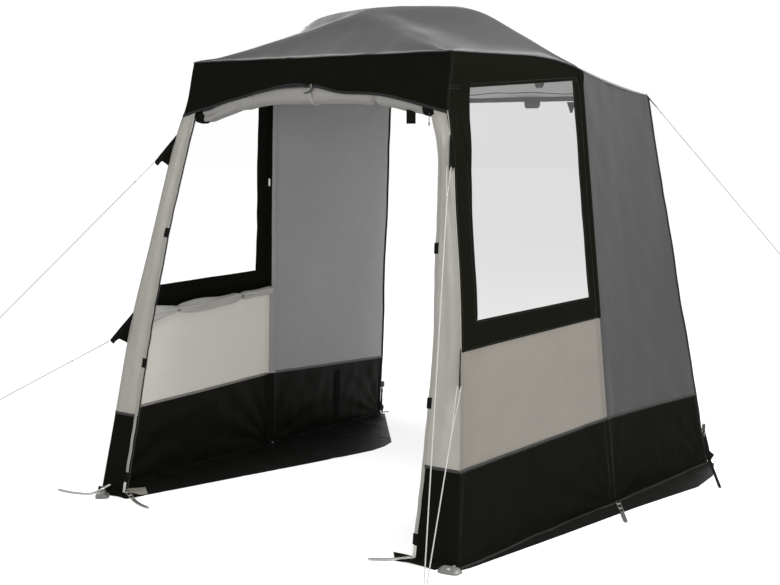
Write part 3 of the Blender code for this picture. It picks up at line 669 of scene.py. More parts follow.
def film_finish(name, colour, alpha):
    """Clear window film, faintly hazy, with a slow waviness that only its reflections show."""
    made, shader, add, wire = new_finish(name)
    haze = noise(add, add("ShaderNodeTexCoord").outputs["Object"], 5.0, 2.0)
    wave = add("ShaderNodeBump", {"Height": haze, "Strength": 0.3, "Distance": 0.006})
    wire(shader, {"Roughness": spread(add, haze, 0.10, 0.22), "Normal": wave.outputs["Normal"],
                  "Base Color": colour, "Alpha": alpha, "IOR": 1.25})
    return made


def hard_finish(name, colour, roughness, metallic=0.0, wear=0.15, scale=60.0):
    """Metal, plastic or thread, faintly streaked and scratched."""
    made, shader, add, wire = new_finish(name)
    grain = noise(add, add("ShaderNodeTexCoord").outputs["Object"], scale, 6.0)
    dents = add("ShaderNodeBump", {"Height": grain, "Strength": 0.15, "Distance": 0.0004})
    wire(shader, {"Base Color": tinted(add, colour, spread(add, grain, 1 - wear, 1 + wear)),
                  "Roughness": spread(add, grain, roughness - 0.1, roughness + 0.12),
                  "Normal": dents.outputs["Normal"], "Metallic": metallic})
    return made


def strap_finish(name, colour, pitch=STRAP_PITCH, gloss=0.1):
    """Webbing or braided cord: slanted ribs along the piece, read from its UV map."""
    made, shader, add, wire = new_finish(name)
    uv = add("ShaderNodeUVMap", uv_map="cloth").outputs["UV"]
    ribs = add("ShaderNodeTexWave", {"Vector": uv, "Scale": WAVE_SCALE / pitch, "Distortion": 0.6},
               bands_direction="DIAGONAL").outputs["Fac"]
    raised = add("ShaderNodeBump", {"Height": ribs, "Strength": 0.7, "Distance": 0.0004})
    wire(shader, {"Base Color": tinted(add, colour, spread(add, ribs, 0.78, 1.15)), "Roughness": 0.75,
                  "Normal": raised.outputs["Normal"], "Specular IOR Level": gloss})
    return made


BLACK_CLOTH = cloth_finish("black_cloth", (0.0029, 0.0029, 0.0019), 0.75, 0.014, 0.0, mottle=0.15,
                           crumple=0.6)
BLACK_INSIDE = cloth_finish("black_cloth_inside", (0.0030, 0.0030, 0.0022), 0.5, 0.05, 0.0, mottle=0.15,
                            crumple=0.8)
FLAP_CLOTH = cloth_finish("black_flap_cloth", (0.0030, 0.0031, 0.0024), 0.46, 0.16, 0.0, mottle=0.15,
                          crumple=1.0)
BEIGE_CLOTH = cloth_finish("beige_cloth", (0.220, 0.213, 0.196), through=0.30, glow=(0.78, 0.77, 0.73))
# Painted shade: the right wall's outer face is the same beige cloth, given a darker colour for the lesser
# light on that side.
SHADED_BEIGE_SIDE = cloth_finish("beige_cloth_painted_shade_side", (0.118, 0.110, 0.098), 0.85, 0.05, 0.0, through=0.16,
                          glow=(0.76, 0.73, 0.68))
# Painted light: the inner face of the beige sheets is the same beige cloth, given a much paler colour for the
# light that reaches the inside.
LIT_BEIGE_INSIDE = cloth_finish("beige_cloth_inside_painted_light", (0.58, 0.56, 0.525), through=0.48, glow=(0.93, 0.91, 0.87))
KHAKI_CLOTH = cloth_finish("khaki_cloth", (0.17, 0.165, 0.135))
SLEEVE_CLOTH = cloth_finish("sleeve_cloth", (0.045, 0.045, 0.043), 0.8)
BLIND_CLOTH = cloth_finish("blind_cloth", (0.34, 0.33, 0.315), 0.8, 0.2, through=0.2, glow=(0.5, 0.5, 0.48))
ROLL_CLOTH = cloth_finish("rolled_cloth", (0.175, 0.171, 0.163), through=0.1, glow=(0.4, 0.39, 0.37))
ROOF_INSIDE = cloth_finish("grey_coated_roof_inside", (0.62, 0.62, 0.615), 0.55, 0.3, 0.0, through=0.3,
                           glow=(0.8, 0.8, 0.8))
GREY_CLOTH = cloth_finish("grey_cloth", (0.036, 0.036, 0.036), 0.5, 0.10, 0.32, fuzz=0.20)
# Painted shade: the rear wall panels are the same grey cloth as the roof, given a darker colour.
SHADED_REAR_PANEL_CLOTH = cloth_finish("grey_cloth_painted_shade_rear_panel", (0.028, 0.028, 0.028), 0.5, 0.08, 0.28, fuzz=0.20)
# Painted light: the rear roof is the same grey cloth as the dome, given a lighter colour for the bright sheen
# it shows at a grazing view.
LIT_REAR_ROOF_CLOTH = cloth_finish("grey_cloth_painted_light_rear_roof", (0.048, 0.048, 0.048), 0.5, 0.10, 0.36, fuzz=0.20)
GREY_INSIDE = cloth_finish("grey_coated_inside", (0.185, 0.185, 0.183), 0.55, 0.3, 0.0)
FILM_RIGHT = film_finish("clear_film_right", (0.08, 0.08, 0.08, 1), 0.22)
FILM_LEFT = film_finish("clear_film_left", (0.85, 0.85, 0.85, 1), 0.02)
POLE_STEEL = hard_finish("pole_steel", (0.42, 0.42, 0.43), 0.38, 0.9)
PEG_STEEL = hard_finish("peg_steel", (0.30, 0.30, 0.28), 0.42, 0.95, wear=0.25)
DARK_PLASTIC = hard_finish("dark_plastic", (0.010, 0.010, 0.010), 0.4)
FOOT_PLASTIC = hard_finish("foot_plastic", (0.075, 0.075, 0.068), 0.5, 0.1)
PALE_PLASTIC = hard_finish("pale_plastic", (0.55, 0.53, 0.47), 0.45)
ZIP_TEETH = hard_finish("zip_teeth", (0.03, 0.03, 0.03), 0.35)
THREAD = hard_finish("thread", (0.045, 0.045, 0.043), 0.7, scale=900.0)
BLACK_WEBBING = strap_finish("black_webbing", (0.0035, 0.0035, 0.003), gloss=0.03)
GREY_WEBBING = strap_finish("grey_webbing", (0.10, 0.10, 0.095), gloss=0.15)
GREY_PIPING = strap_finish("grey_piping", (0.010, 0.010, 0.011), gloss=0.08)
SEAM_TAPE = strap_finish("seam_tape", (0.025, 0.025, 0.024))
PALE_TAPE = strap_finish("pale_tape", (0.16, 0.152, 0.138))
GREY_TAPE = strap_finish("grey_tape", (0.085, 0.085, 0.082))
PALE_WEBBING = strap_finish("pale_webbing", (0.33, 0.32, 0.30))
ZIP_TAPE = strap_finish("zip_tape", (0.007, 0.007, 0.006), 0.0009)
BLACK_PIPING = strap_finish("black_piping", (0.006, 0.006, 0.005), gloss=0.08)
PALE_CORD = strap_finish("pale_cord", (0.26, 0.26, 0.25), 0.0022, 0.3)


def steps_of(length):
    """Number of points that keeps the cells of a sheet near CELL."""
    return max(2, int(round(length / CELL)) + 1)


def make_side_wall(word, side):
    """The sheets of one side wall, each in place of its node."""
    # The right wall's outer beige is a darker copy of the beige cloth, painted shade; the inner faces get a
    # paler copy, painted light.
    black, beige = (BLACK_CLOTH, BLACK_INSIDE), (SHADED_BEIGE_SIDE if side > 0 else BEIGE_CLOTH, LIT_BEIGE_INSIDE)
    cloth("mud_wall_cloth_" + word, wall_rows(side), black, "mud_wall_" + word)
    for name, bay, low, high, finishes, slot in (
            ("lower_panel_", front_bay, MUD_SEAMS[0][1], between(SURROUND_LOW_Z), beige, "beige_cloth"),
            # The rear panels take the darker copy of the grey cloth, painted shade.
            ("rear_panel_", rear_bay, MUD_SEAMS[1][1], rear_top_z, (SHADED_REAR_PANEL_CLOTH, GREY_INSIDE),
             "grey_cloth"),
            ("side_fascia_", front_bay, between(FILM_HIGH_Z), eave_z, black, "black_cloth")):
        shares = np.linspace(0, 1, steps_of(1.1))
        rows = np.linspace(0, 1, steps_of(float(np.max(high(shares) - low(shares)))))[:, None]
        face = wall_point(side, bay, shares, mix(low(shares), high(shares), rows))
        cloth(name + "cloth_" + word, face, finishes, name + word)
    make_window(word, side)


def wall_rows(side):
    """The mud wall's outer face, one sheet along both bays."""
    rows = np.linspace(0, 1, steps_of(0.36))[:, None]
    halves = []
    for (bay, seam), long in zip(MUD_SEAMS, (1.2, 0.98)):
        shares = np.linspace(0, 1, steps_of(long))
        halves.append(wall_point(side, bay, shares, mix(WALL_FOOT_Z, seam(shares), rows)))
    return [np.concatenate((front, rear[:, 1:]), axis=1) for front, rear in zip(*halves)]


def film_sill(side):
    """Height of the film's lower edge, which sits a little higher on the left."""
    return between(FILM_LOW_Z if side > 0 else FILM_LOW_Z_LEFT)


def make_window(word, side):
    """The black surround, open at the top under the side fascia, and the film sewn into it."""
    edge, sill, film = 10, 8, 74
    end = FILM_END if side > 0 else FILM_END_LEFT
    shares = np.concatenate((np.linspace(0, FILM_START, edge + 1), np.linspace(FILM_START, end, film + 1)[1:],
                             np.linspace(end, 1, 8)[1:]))
    foot, low, top = between(SURROUND_LOW_Z)(shares), film_sill(side)(shares), between(FILM_HIGH_Z)(shares)
    z = np.stack([mix(foot, low, k) for k in np.linspace(0, 1, sill + 1)]
                 + [mix(low, top, k) for k in np.linspace(0, 1, film + 1)[1:]])
    points, normals = wall_point(side, front_bay, shares, z)
    holes = np.zeros((z.shape[0] - 1, z.shape[1] - 1), bool)
    holes[sill:, edge:edge + film] = True
    cloth("window_surround_cloth_" + word, (points, normals), (BLACK_CLOTH, BLACK_CLOTH),
          "window_surround_" + word, holes=holes)
    points, normals = (grid[sill:, edge:edge + film + 1] for grid in (points, normals))
    cloth("window_film_sheet_" + word, (points - normals * FILM_BEHIND, normals),
          [FILM_RIGHT if side > 0 else FILM_LEFT] * 2, "window_film_" + word, thick=FILM_THICK)


def make_front():
    """The arched fascia, and the cloth panel with its mud wall on each side of the doorway."""
    inset = 2 * GAP
    u = np.linspace(-1, 1, steps_of(1.46))
    z = mix(arch_z(u * ARCH_HALF), EAVE_Z, np.linspace(0, 1, 17)[:, None])
    face = front_point(u * (leg_reach(u + 0 * z, z) - inset), z)
    cloth("front_fascia_cloth", face, (BLACK_CLOTH, BLACK_CLOTH), "front_fascia")
    for word, side in SIDES:
        for name, low, high, finishes, slot in (
                ("front_mud_panel_", WALL_LOW_Z, MUD_SEAM_Z[0], (BLACK_CLOTH, BLACK_CLOTH), "black_cloth"),
                ("front_panel_", MUD_SEAM_Z[0], DOOR_PANEL_TOP_Z, (BEIGE_CLOTH, LIT_BEIGE_INSIDE),
                 "beige_cloth")):
            rise = np.linspace(0, 1, steps_of(high - low))[:, None]
            z = mix(low, high, rise)
            x = side * mix(leg_reach(side, z) - inset, door_edge_x(side, z), np.linspace(0, 1, 18))
            if high == DOOR_PANEL_TOP_Z:
                z = z + (arch_z(x) + 0.012 - high) * ease((rise - 0.9) / 0.1)
            points, normals = front_point(x, z)
            points = points - normals * (0.0022 * ease((rise - 0.94) / 0.05))[..., None] * (high > 1)
            cloth(name + "cloth_" + word, (points, normals), finishes, name + word)


def make_roof():
    """The dome and the roof that runs back from it."""
    places = np.linspace(-1, 1, PLACES)
    for name, node, points, outside in (
            ("roof_canopy_cloth", "roof_canopy", roof_point(*np.meshgrid(places, places)), GREY_CLOTH),
            # The rear roof takes the lighter copy of the grey cloth, painted light.
            ("rear_roof_cloth", "rear_roof",
             rear_roof_point(*np.meshgrid(places, np.linspace(0, 1, steps_of(0.87)))), LIT_REAR_ROOF_CLOTH)):
        cloth(name, (points, grid_normals(points)), (outside, ROOF_INSIDE), node)


def grid_normals(grid):
    """Unit normals of a grid of points, on its upper side."""
    normal = unit(np.cross(np.gradient(grid, axis=1), np.gradient(grid, axis=0)))
    return normal if normal[..., 2].mean() > 0 else -normal


def leg_axis(side, z, seam, back):
    """Centre of a leg pole standing inside a corner of the cloth, moved back from it where back is 1."""
    reach = CLOTH + (POLE_RADIUS + POLE_SEAT) / LEG_LEAN
    return seam(side, z) + np.array((-side * reach, back * reach, 0))


def roof_pole_path(start_side, drop):
    """A pole under the roof cloth, from one front corner across to the rear corner on the other side."""
    w, step = np.linspace(ROOF_POLE_START, ROOF_POLE_END, 61), 0.01
    under = roof_under(-start_side * w, w)
    run = roof_under(-start_side * (w + step), w + step) - roof_under(-start_side * (w - step), w - step)
    lean = np.hypot(run[:, 0], run[:, 1]) / np.linalg.norm(run, axis=-1)
    under[:, 2] -= (POLE_RADIUS + POLE_UNDER_ROOF) / lean + drop * bump(w, 0, CROSSING_REACH)
    first, last = ([leg_axis(side, eave - LEG_TOP_BELOW_EAVE + up, seam, back) for up in POLE_END_ABOVE_LEG]
                   for side, eave, seam, back in ((start_side, EAVE_Z, front_leg, 1),
                                                  (-start_side, MID_EAVE_Z, mid_leg, 0)))
    return np.concatenate((first, under, last[::-1]))


def rear_pole_line(x):
    """Points on the axis of the pole across the rear top."""
    depth = REAR_TOP[1] - POLE_RADIUS
    z = rear_top_z((depth - MID_EAVE[1]) / (REAR_TOP[1] - MID_EAVE[1])) - POLE_RADIUS - GAP
    return spot(x, depth, z)


def make_frame():
    """Smooth tubes for the legs, the roof poles and the rear pole."""
    tubes = []
    for word, side in SIDES:
        foot = (CLOTH + GAP if side < 0 else 0.0) + GAP + POLE_RADIUS * 0.1
        for kind, low, high, count, seam, back in (("front_leg_", 0.0063, EAVE_Z, 60, front_leg, 1),
                                                   ("mid_leg_", foot, MID_EAVE_Z, 30, mid_leg, 0)):
            heights = np.linspace(low, high - LEG_TOP_BELOW_EAVE, count)
            path = [leg_axis(side, z, seam, back) for z in heights]
            tubes.append((kind + "tube_" + word, path, kind + word, AHEAD))
    half = rear_edge(1, rear_pole_line(0)[2])[0] - CLOTH - POLE_RADIUS / 3
    tubes += [("roof_pole_tube_a", roof_pole_path(-1, 0.0), "roof_pole_a", UP),
              ("roof_pole_tube_b", roof_pole_path(1, 2 * POLE_RADIUS + CROSSING_CLEAR), "roof_pole_b", UP),
              ("rear_top_tube", rear_pole_line(np.linspace(-half, half, 40)), "rear_top_pole", UP)]
    for name, path, node, across in tubes:
        rod(name, path, POLE_RADIUS, POLE_STEEL, "pole_steel", node, 16, across)


def make_flap(word, side, edge, columns, fold_rise):
    """A mud flap lying on the ground from the wall's foot, with faint folds in it."""
    foot = np.concatenate([wall_point(side, front_bay, np.linspace(FLAP_START, 1, 96), WALL_FOOT_Z)[0],
                           wall_point(side, rear_bay, np.linspace(0, 1, 84)[1:], WALL_FOOT_Z)[0]])[:, None]
    start, depth = np.abs(foot[..., 0]) - (SHEET if side < 0 else 0), foot[..., 1] + CENTRE_DEPTH
    k = np.linspace(0, 1, columns)[None]
    x = mix(start, np.interp(depth, *zip(*edge)), k)
    flat = spot(side * x, depth, 0)
    across = np.abs(x - start)
    fold = swell(flat * (0.45, 1.5, 1), 0.30, 51 + side) + 0.5 * swell(flat * (0.6, 1.6, 1), 0.12, 52 + side)
    lift = fold_rise * np.maximum(fold - 0.25, 0) + 0.0006 * (1 + swell(flat, 0.10, 53))
    lift = lift * ease(across / 0.03) * (1 - 0.85 * k) + 0.0060 * (1 - ease(across / 0.010))
    points = flat + np.array(UP) * (SHEET + 0.0004 + lift)[..., None]
    cloth("mud_flap_cloth_" + word, (points, grid_normals(points)), (FLAP_CLOTH, BLACK_CLOTH),
          "mud_flap_" + word)


def spiral_profile(inner, outer, thick, count):
    """Cross-section of a rolled cloth: one band wound outwards from a small core."""
    turn = np.linspace(0, 2 * math.pi * ROLL_TURNS, ROLL_TURNS * count)
    radius = np.linspace(inner, outer, len(turn))
    way = np.stack((np.cos(turn), np.sin(turn)), -1)
    return np.concatenate((way * radius[:, None], (way * (radius - thick)[:, None])[::-1]))


def make_roll(name, node, rings, path, lump, seed, finish, pleat, inward):
    """A rolled-up cloth, lumpy along its length and drawn in where it is tied.

    lump is the size of its grooves and folds, and pleat is how deep the long folds run: in the middle, and
    how much more at its ends. inward is 0 where they swell both ways, and more where they only sink in.
    """
    centre = np.asarray(path)[:, None]
    away = rings - centre
    grooves = swell(rings, 0.34, seed) + 0.6 * swell(away * 7 + centre, 0.30, seed + 1)
    round_it = np.arctan2(away[..., 2], away[..., 0] + away[..., 1]) * 2.5
    long_folds = 2 * np.abs(np.sin(round_it + 0.8 * swell(centre, 0.5, seed + 2))) - 1 - inward
    along = np.linspace(0, 1, len(rings))[:, None]
    pleats = pleat[0] + pleat[1] * (bump(along, 0, 0.10) + 0.3 * bump(along, 1, 0.06))
    rings = centre + away * (1 + lump * grooves + lump * pleats * long_folds)[..., None]
    made = add_rings(name, rings, finish, "beige_cloth", node, sharp=60)


def roll_height(x):
    """Height of the rolled door's middle; its left end hangs lowest."""
    share = np.abs(np.clip(x, -DOOR_ROLL_HALF, DOOR_ROLL_HALF) / DOOR_ROLL_HALF)
    ends = 0.034 * ease((-x - 0.43) / 0.20) + 0.028 * ease((x - 0.40) / 0.24)
    return DOOR_ROLL_Z - DOOR_ROLL_DROOP * share ** DOOR_ROLL_CURVE - ends


def make_rolls():
    """The door rolled up under the fascia, and the blinds rolled up under the windows."""
    x = np.linspace(-DOOR_ROLL_HALF - 0.05, DOOR_ROLL_HALF, 110)
    z = roll_height(x)
    path = spot(x, front_depth(z) + DOOR_ROLL_BEHIND, z)
    tie = 1 - 0.42 * bump(x, DOOR_TIE_X, 0.014) - 0.36 * ease((np.abs(x) - 0.46) / 0.14)
    sag = 1 + 0.06 * np.sin(x * 7 + 1) + 0.10 * bump(x, -0.39, 0.03)
    rings = sweep_rings(path, UP, spiral_profile(0.008, DOOR_ROLL_RADIUS * 0.93, 0.0011, 36), tie * sag)
    make_roll("rolled_door_cloth", "rolled_door", rings, path, 0.058, 61, ROLL_CLOTH,
              (0.35, 5.0), 0)
    for word, side in SIDES:
        make_blind(word, side)


def make_blind(word, side):
    """A blind rolled up under its window, swagged between two ties."""
    shares = np.linspace(BLIND_START, BLIND_END, 84)
    first, last = BLIND_TIES
    ties = bump(shares, first, 0.02) + bump(shares, last, 0.02)
    path = front_bay(side, shares, between(SURROUND_LOW_Z)(shares))
    path[:, 0] -= side * (CLOTH + (BLIND_RADIUS + POLE_SEAT) / LEG_LEAN)
    swag = arc((shares - first) / (last - first))
    path[:, 2] -= 0.004 * swag
    front_end = ease((first - 0.02 - shares) / 0.17)
    sizes = np.stack((0.82 - 0.18 * ties - 0.10 * front_end,
                      0.72 + 0.46 * swag - 0.20 * ties + 0.90 * front_end), -1)
    rings = sweep_rings(path, ALONG, spiral_profile(0.005, BLIND_RADIUS * 0.95, 0.0006, 30), sizes)
    make_roll("rolled_blind_cloth_" + word, "rolled_blind_" + word, rings, path, 0.11, 71 + side, BLIND_CLOTH,
              (1.5, 0.6), 0.8)
    cuffs = []
    for tied in BLIND_TIES:
        at = int(np.argmin(np.abs(shares - tied)))
        cuffs.append(rod("cuff", path[at - 1:at + 2], BLIND_RADIUS * 0.62, GREY_WEBBING, sides=18,
                         across=ALONG, sizes=((0.98, 0.72), (1.06, 0.78), (0.98, 0.72))))
    join("blind_ties_" + word, cuffs)


def bind(name, face, inward, size, finish):
    """A folded tape bound over the edge of a sheet; inward points from the edge into the sheet."""
    (edge, normals), (wide, thick) = face, size
    middle = edge + inward * (wide / 2 - 0.0015) - normals * (SHEET / 2)
    sweep(name, middle, inward, strap_profile(wide, thick, thick / 2), finish, "black_cloth")


def lay(name, face, profile, finish, slot=None, lift=LAID, sizes=None):
    """A bar of one profile lying on a surface, along a path; face is its points and their normals."""
    path, normals = (np.asarray(part, float) for part in face)
    across = np.cross(np.broadcast_to(normals, path.shape), unit(np.gradient(path, axis=0)))
    return sweep(name, path + normals * lift, across, profile, finish, slot, sizes=sizes)


def strap(name, face, size, finish, slot=None, lift=LAID, sizes=None):
    """A flat strap or tape lying on a surface; size is its width and thickness."""
    return lay(name, face, strap_profile(*size), finish, slot, lift, sizes)


def inside(face):
    """The inner face of a sheet, from its outer one."""
    points, normals = face
    return points - normals * SHEET, -normals


def sleeve_profile(wide, tall):
    """A pole sleeve's cross-section: flat below, a low arch above."""
    turn = np.linspace(0, math.pi, 11)
    return np.stack((np.cos(turn) * wide / 2, np.sin(turn) ** 0.8 * tall), -1)


def wall_run(side, bay, share, low, high, count=60):
    """Points and normals up a side wall at one share of its bay."""
    return wall_point(side, bay, share, np.linspace(low, high, count))


def wall_line(side, bay, seam, start=0.0, end=1.0, count=90, trim=0.0):
    """Points and normals along a seam of a side wall."""
    shares = np.linspace(start, end, count)
    return wall_point(side, bay, shares, seam(shares) + trim)


def make_wall_trim(word, side):
    """Piping, bindings, sleeves and seam tapes of one side wall."""
    tapes = []
    for (bay, seam), lining in zip(MUD_SEAMS, (PALE_TAPE, GREY_TAPE)):
        face = wall_line(side, bay, seam)
        tapes += [strap("tape", face, SEAM_TAPE_SIZE, SEAM_TAPE),
                  strap("tape", inside(face), LINING_TAPE_SIZE, lining)]
    join("mud_seam_tape_" + word, tapes)

    points, normals = wall_run(side, rear_bay, 1.0, 0.012, REAR_TOP_Z - 0.004, 110)
    forward = unit(rear_bay(side, 0.9, points[:, 2]) - points)
    bind("rear_edge_binding_" + word, (points, normals), forward, REAR_BINDING, BLACK_PIPING)
    rod("rear_edge_piping_" + word, points - forward * 0.0005 - normals * SHEET / 2, EDGE_PIPING,
        BLACK_PIPING, "black_cloth", across=ALONG)

    face = wall_run(side, front_bay, 0.996, SURROUND_LOW_Z[1], MID_EAVE_Z - 0.004)
    bulge = 1 + 1.6 * bump(face[0][:, 2], *SLEEVE_BULGE)
    lay("mid_seam_sleeve_" + word, face, sleeve_profile(*MID_SLEEVE), BLACK_CLOTH, "black_cloth",
        sizes=np.stack((0.7 + 0.3 * bulge, bulge), -1))
    make_leg_sleeve(word, side)

    points, normals = wall_run(side, front_bay, 0.0, SURROUND_LOW_Z[0], CORNER_SLEEVE_TOP_Z)
    across = unit(front_bay(side, 0.1, points[:, 2]) - points)
    wide = 0.0015 * ease((1.50 - points[:, 2]) / 0.03) + 0.003
    strap("corner_sleeve_" + word, (points + across * (wide / 2)[:, None], normals), CORNER_SLEEVE,
          BEIGE_CLOTH, "beige_cloth", sizes=wide_only(wide / CORNER_SLEEVE[0]))
    for name, bay, top, lift, radius, finish in (
            ("eave_piping_", front_bay, eave_z, 0.001, EAVE_PIPING, GREY_PIPING),
            # The rear eave piping takes the lighter rear roof grey, painted light.
            ("rear_eave_piping_", rear_bay, rear_top_z, 0.0005, REAR_EAVE_PIPING, LIT_REAR_ROOF_CLOTH)):
        points, normals = wall_line(side, bay, top, count=90 if bay is front_bay else 70, trim=-0.001)
        rod(name + word, points + normals * lift, radius, finish, "grey_cloth")

    low = FILM_BINDING_LOW_Z[side]
    z = np.linspace(low, FILM_BINDING_TOP_Z, 60)
    if side < 0:
        wide, lift = 0.004 + 0.052 * (z - low) / 0.72, -SHEET - 0.0008
        share = FILM_END_LEFT + (0.003 - wide / 2) / 1.5
    else:
        wide, lift = np.interp(z, *FILM_BINDING), 0.0008
        share = FILM_START + (wide / 2 - 0.003) / 1.5
    strap("film_binding_" + word, wall_point(side, front_bay, share, z), (1.0, 0.0010), BLACK_CLOTH,
          "black_cloth", lift, wide_only(wide))
    face = inside(wall_run(side, rear_bay, WALL_STRAP_SHARE, *WALL_STRAP_Z, 24))
    strap("wall_strap_" + word, face, WALL_STRAP, BLACK_WEBBING, "black_cloth")


def make_leg_sleeve(word, side):
    """A soft pocket over the rear leg, in the colours of the panels on each side of it."""
    parts, half = [], 12
    for low, high, front, behind, split in (
            (0.012, MUD_SEAM_Z[1], BLACK_INSIDE, BLACK_INSIDE, 0.5),
            (MUD_SEAM_Z[1], SURROUND_LOW_Z[1], LIT_BEIGE_INSIDE, GREY_INSIDE, 0.62),
            (SURROUND_LOW_Z[1], SLEEVE_TOP_Z, BLACK_CLOTH, GREY_INSIDE, 0.40)):
        z = np.linspace(low, high, 46)[:, None]
        for bay, finish, first, last in ((front_bay, behind, 0, split), (front_bay, front, split, 1),
                                         (rear_bay, behind, 0, 1)):
            share = np.concatenate((np.linspace(first, last, half), np.linspace(last, first, half)))
            place = share * SLEEVE_HALF / bay_length(bay, side, z)
            on_wall, normals = wall_point(side, bay, 1 - place if bay is front_bay else place, z)
            rise = SLEEVE_RISE * (0.5 + 0.5 * np.cos(math.pi * share)) * (1 - 0.05 * swell(on_wall, 0.2, 81))
            rise[:, half:] = np.maximum(rise[:, half:] - 0.0009, -0.0006)
            rings = on_wall - normals * (SHEET + 0.0003) - np.array((side, 0, 0)) * rise[..., None]
            parts.append(add_rings("sleeve", rings, finish, sharp=70))
    join("leg_sleeve_" + word, parts)


def make_front_trim():
    """Binding of the arch, eave piping, zips and facings of the doorway."""
    u = np.linspace(-1, 1, 130)
    z = arch_z(u * ARCH_HALF)
    face = front_point(u * (leg_reach(u, z) - 2 * GAP), z)
    bind("arch_binding", face, unit(np.array((0, FRONT_EAVE[1], EAVE_Z))), ARCH_BINDING, GREY_PIPING)
    points, normals = front_point(np.linspace(-1, 1, 110) * (FRONT_EAVE[0] - 2 * GAP), EAVE_Z - 0.001)
    rod("front_eave_piping", points + normals * 0.001, EAVE_PIPING, GREY_PIPING, "grey_cloth")
    for word, side in SIDES:
        z = MUD_SEAM_Z[0]
        x = side * np.linspace(door_edge_x(side, z) + 0.002, leg_reach(side, z) - 0.003, 24)
        strap("front_seam_tape_" + word, front_point(x, z), FRONT_TAPE_SIZE, SEAM_TAPE, "black_cloth")
        make_door_edge(word, side)


def door_edge_run(side, low, high, count=110, inset=0.0):
    """Points and normals down the doorway's edge, moved outwards into the panel by inset."""
    z = np.linspace(low, high, count)
    return front_point(side * (door_edge_x(side, z) + inset), z)


def make_door_edge(word, side):
    """Facing strip, zip tape and teeth, tabs and the webbing end along one edge of the doorway."""
    face = door_edge_run(side, 0.10, DOOR_PANEL_TOP_Z, inset=DOOR_FACING[0] / 2)
    strap("door_facing_" + word, face, DOOR_FACING, BEIGE_CLOTH, "beige_cloth")
    points, normals = door_edge_run(side, 0.03, DOOR_PANEL_TOP_Z, inset=0.0008)
    middle = points + np.array((0, 0.0015, 0))
    profile = strap_profile(*ZIP) + (ZIP[0] / 2, 0)
    sweep("zip_tape_" + word, middle, AHEAD, profile, ZIP_TAPE, "black_cloth")
    teeth = middle + np.array((-side * 0.0006, ZIP[0], 0)), normals
    row_of("zip_teeth_" + word, [teeth], TOOTH, TOOTH_STEP, ZIP_TEETH)
    tabs = [lay("tab", door_edge_run(side, z - 0.021, z + 0.021, 8, inset=0.007),
                strap_profile(*DOOR_TAB, TAB_SUNK), BLACK_WEBBING, lift=0.0022) for z in TAB_HEIGHTS]
    join("door_tabs_" + word, tabs)
    face = door_edge_run(side, 0.012, 0.058, 8, inset=0.009)
    strap("door_webbing_" + word, face, DOOR_WEBBING, PALE_WEBBING, "pale_cord", 0.0016 + LAID)


def row_tree():
    """A tree that sets a small piece at even steps along a path, turned to follow it."""
    tree = bpy.data.node_groups.new("row_along_path", "GeometryNodeTree")
    for name, kind in (("Path", "Geometry"), ("Step", "Float"), ("Piece", "Object"), ("Finish", "Material")):
        tree.interface.new_socket(name, in_out="INPUT", socket_type="NodeSocket" + kind)
    tree.interface.new_socket("Row", in_out="OUTPUT", socket_type="NodeSocketGeometry")

    def node(kind, **settings):
        made = tree.nodes.new(kind)
        for key, value in settings.items():
            setattr(made, key, value)
        return made

    start, end = node("NodeGroupInput"), node("NodeGroupOutput")
    curve, even = node("GeometryNodeMeshToCurve"), node("GeometryNodeResampleCurve", mode="LENGTH")
    piece, tangent = node("GeometryNodeObjectInfo"), node("GeometryNodeInputTangent")
    along = node("FunctionNodeAlignRotationToVector", axis="X")
    upright = node("FunctionNodeAlignRotationToVector", axis="Z", pivot_axis="X")
    facing = node("GeometryNodeInputNamedAttribute", data_type="FLOAT_VECTOR")
    facing.inputs["Name"].default_value = "facing"
    place, real = node("GeometryNodeInstanceOnPoints"), node("GeometryNodeRealizeInstances")
    paint = node("GeometryNodeSetMaterial")
    for source, out, target, into in (
            (start, "Path", curve, "Mesh"), (curve, 0, even, "Curve"), (start, "Step", even, "Length"),
            (even, 0, place, "Points"), (start, "Piece", piece, "Object"),
            (piece, "Geometry", place, "Instance"), (tangent, 0, along, "Vector"),
            (along, 0, upright, "Rotation"), (facing, "Attribute", upright, "Vector"),
            (upright, 0, place, "Rotation"), (place, 0, real, 0), (real, 0, paint, "Geometry"),
            (start, "Finish", paint, "Material"), (paint, 0, end, "Row")):
        tree.links.new(source.outputs[out], target.inputs[into])
    return tree


def small_piece(name, points, faces):
    """A small mesh that a row repeats; it is taken away once the rows are made."""
    mesh = bpy.data.meshes.new(name)
    mesh.from_pydata(points, [], faces)
    return add_object(name, mesh)


def tooth_piece(long, wide, tall, pinch=0.7):
    """A zip's tooth: a little block, narrower on top."""
    a, b = long / 2, wide / 2
    points = [(-a, -b, 0), (a, -b, 0), (a, b, 0), (-a, b, 0)]
    points += [(x * pinch, y * pinch, tall) for x, y, _ in points]
    sides = [(k, (k + 1) % 4, (k + 1) % 4 + 4, k + 4) for k in range(4)]
    return small_piece("tooth", points, [(3, 2, 1, 0), (4, 5, 6, 7)] + sides)


def stitch_piece(long, thick):
    """One stitch: a short thread, thickest in the middle."""
    a, r = long / 2, thick / 2
    points = [(-a, 0, 0), (0, -r, 0), (0, 0, r), (0, r, 0), (0, 0, -r), (a, 0, 0)]
    back = [(0, k % 4 + 1, k) for k in range(1, 5)]
    return small_piece("stitch", points, back + [(5, k, k % 4 + 1) for k in range(1, 5)])


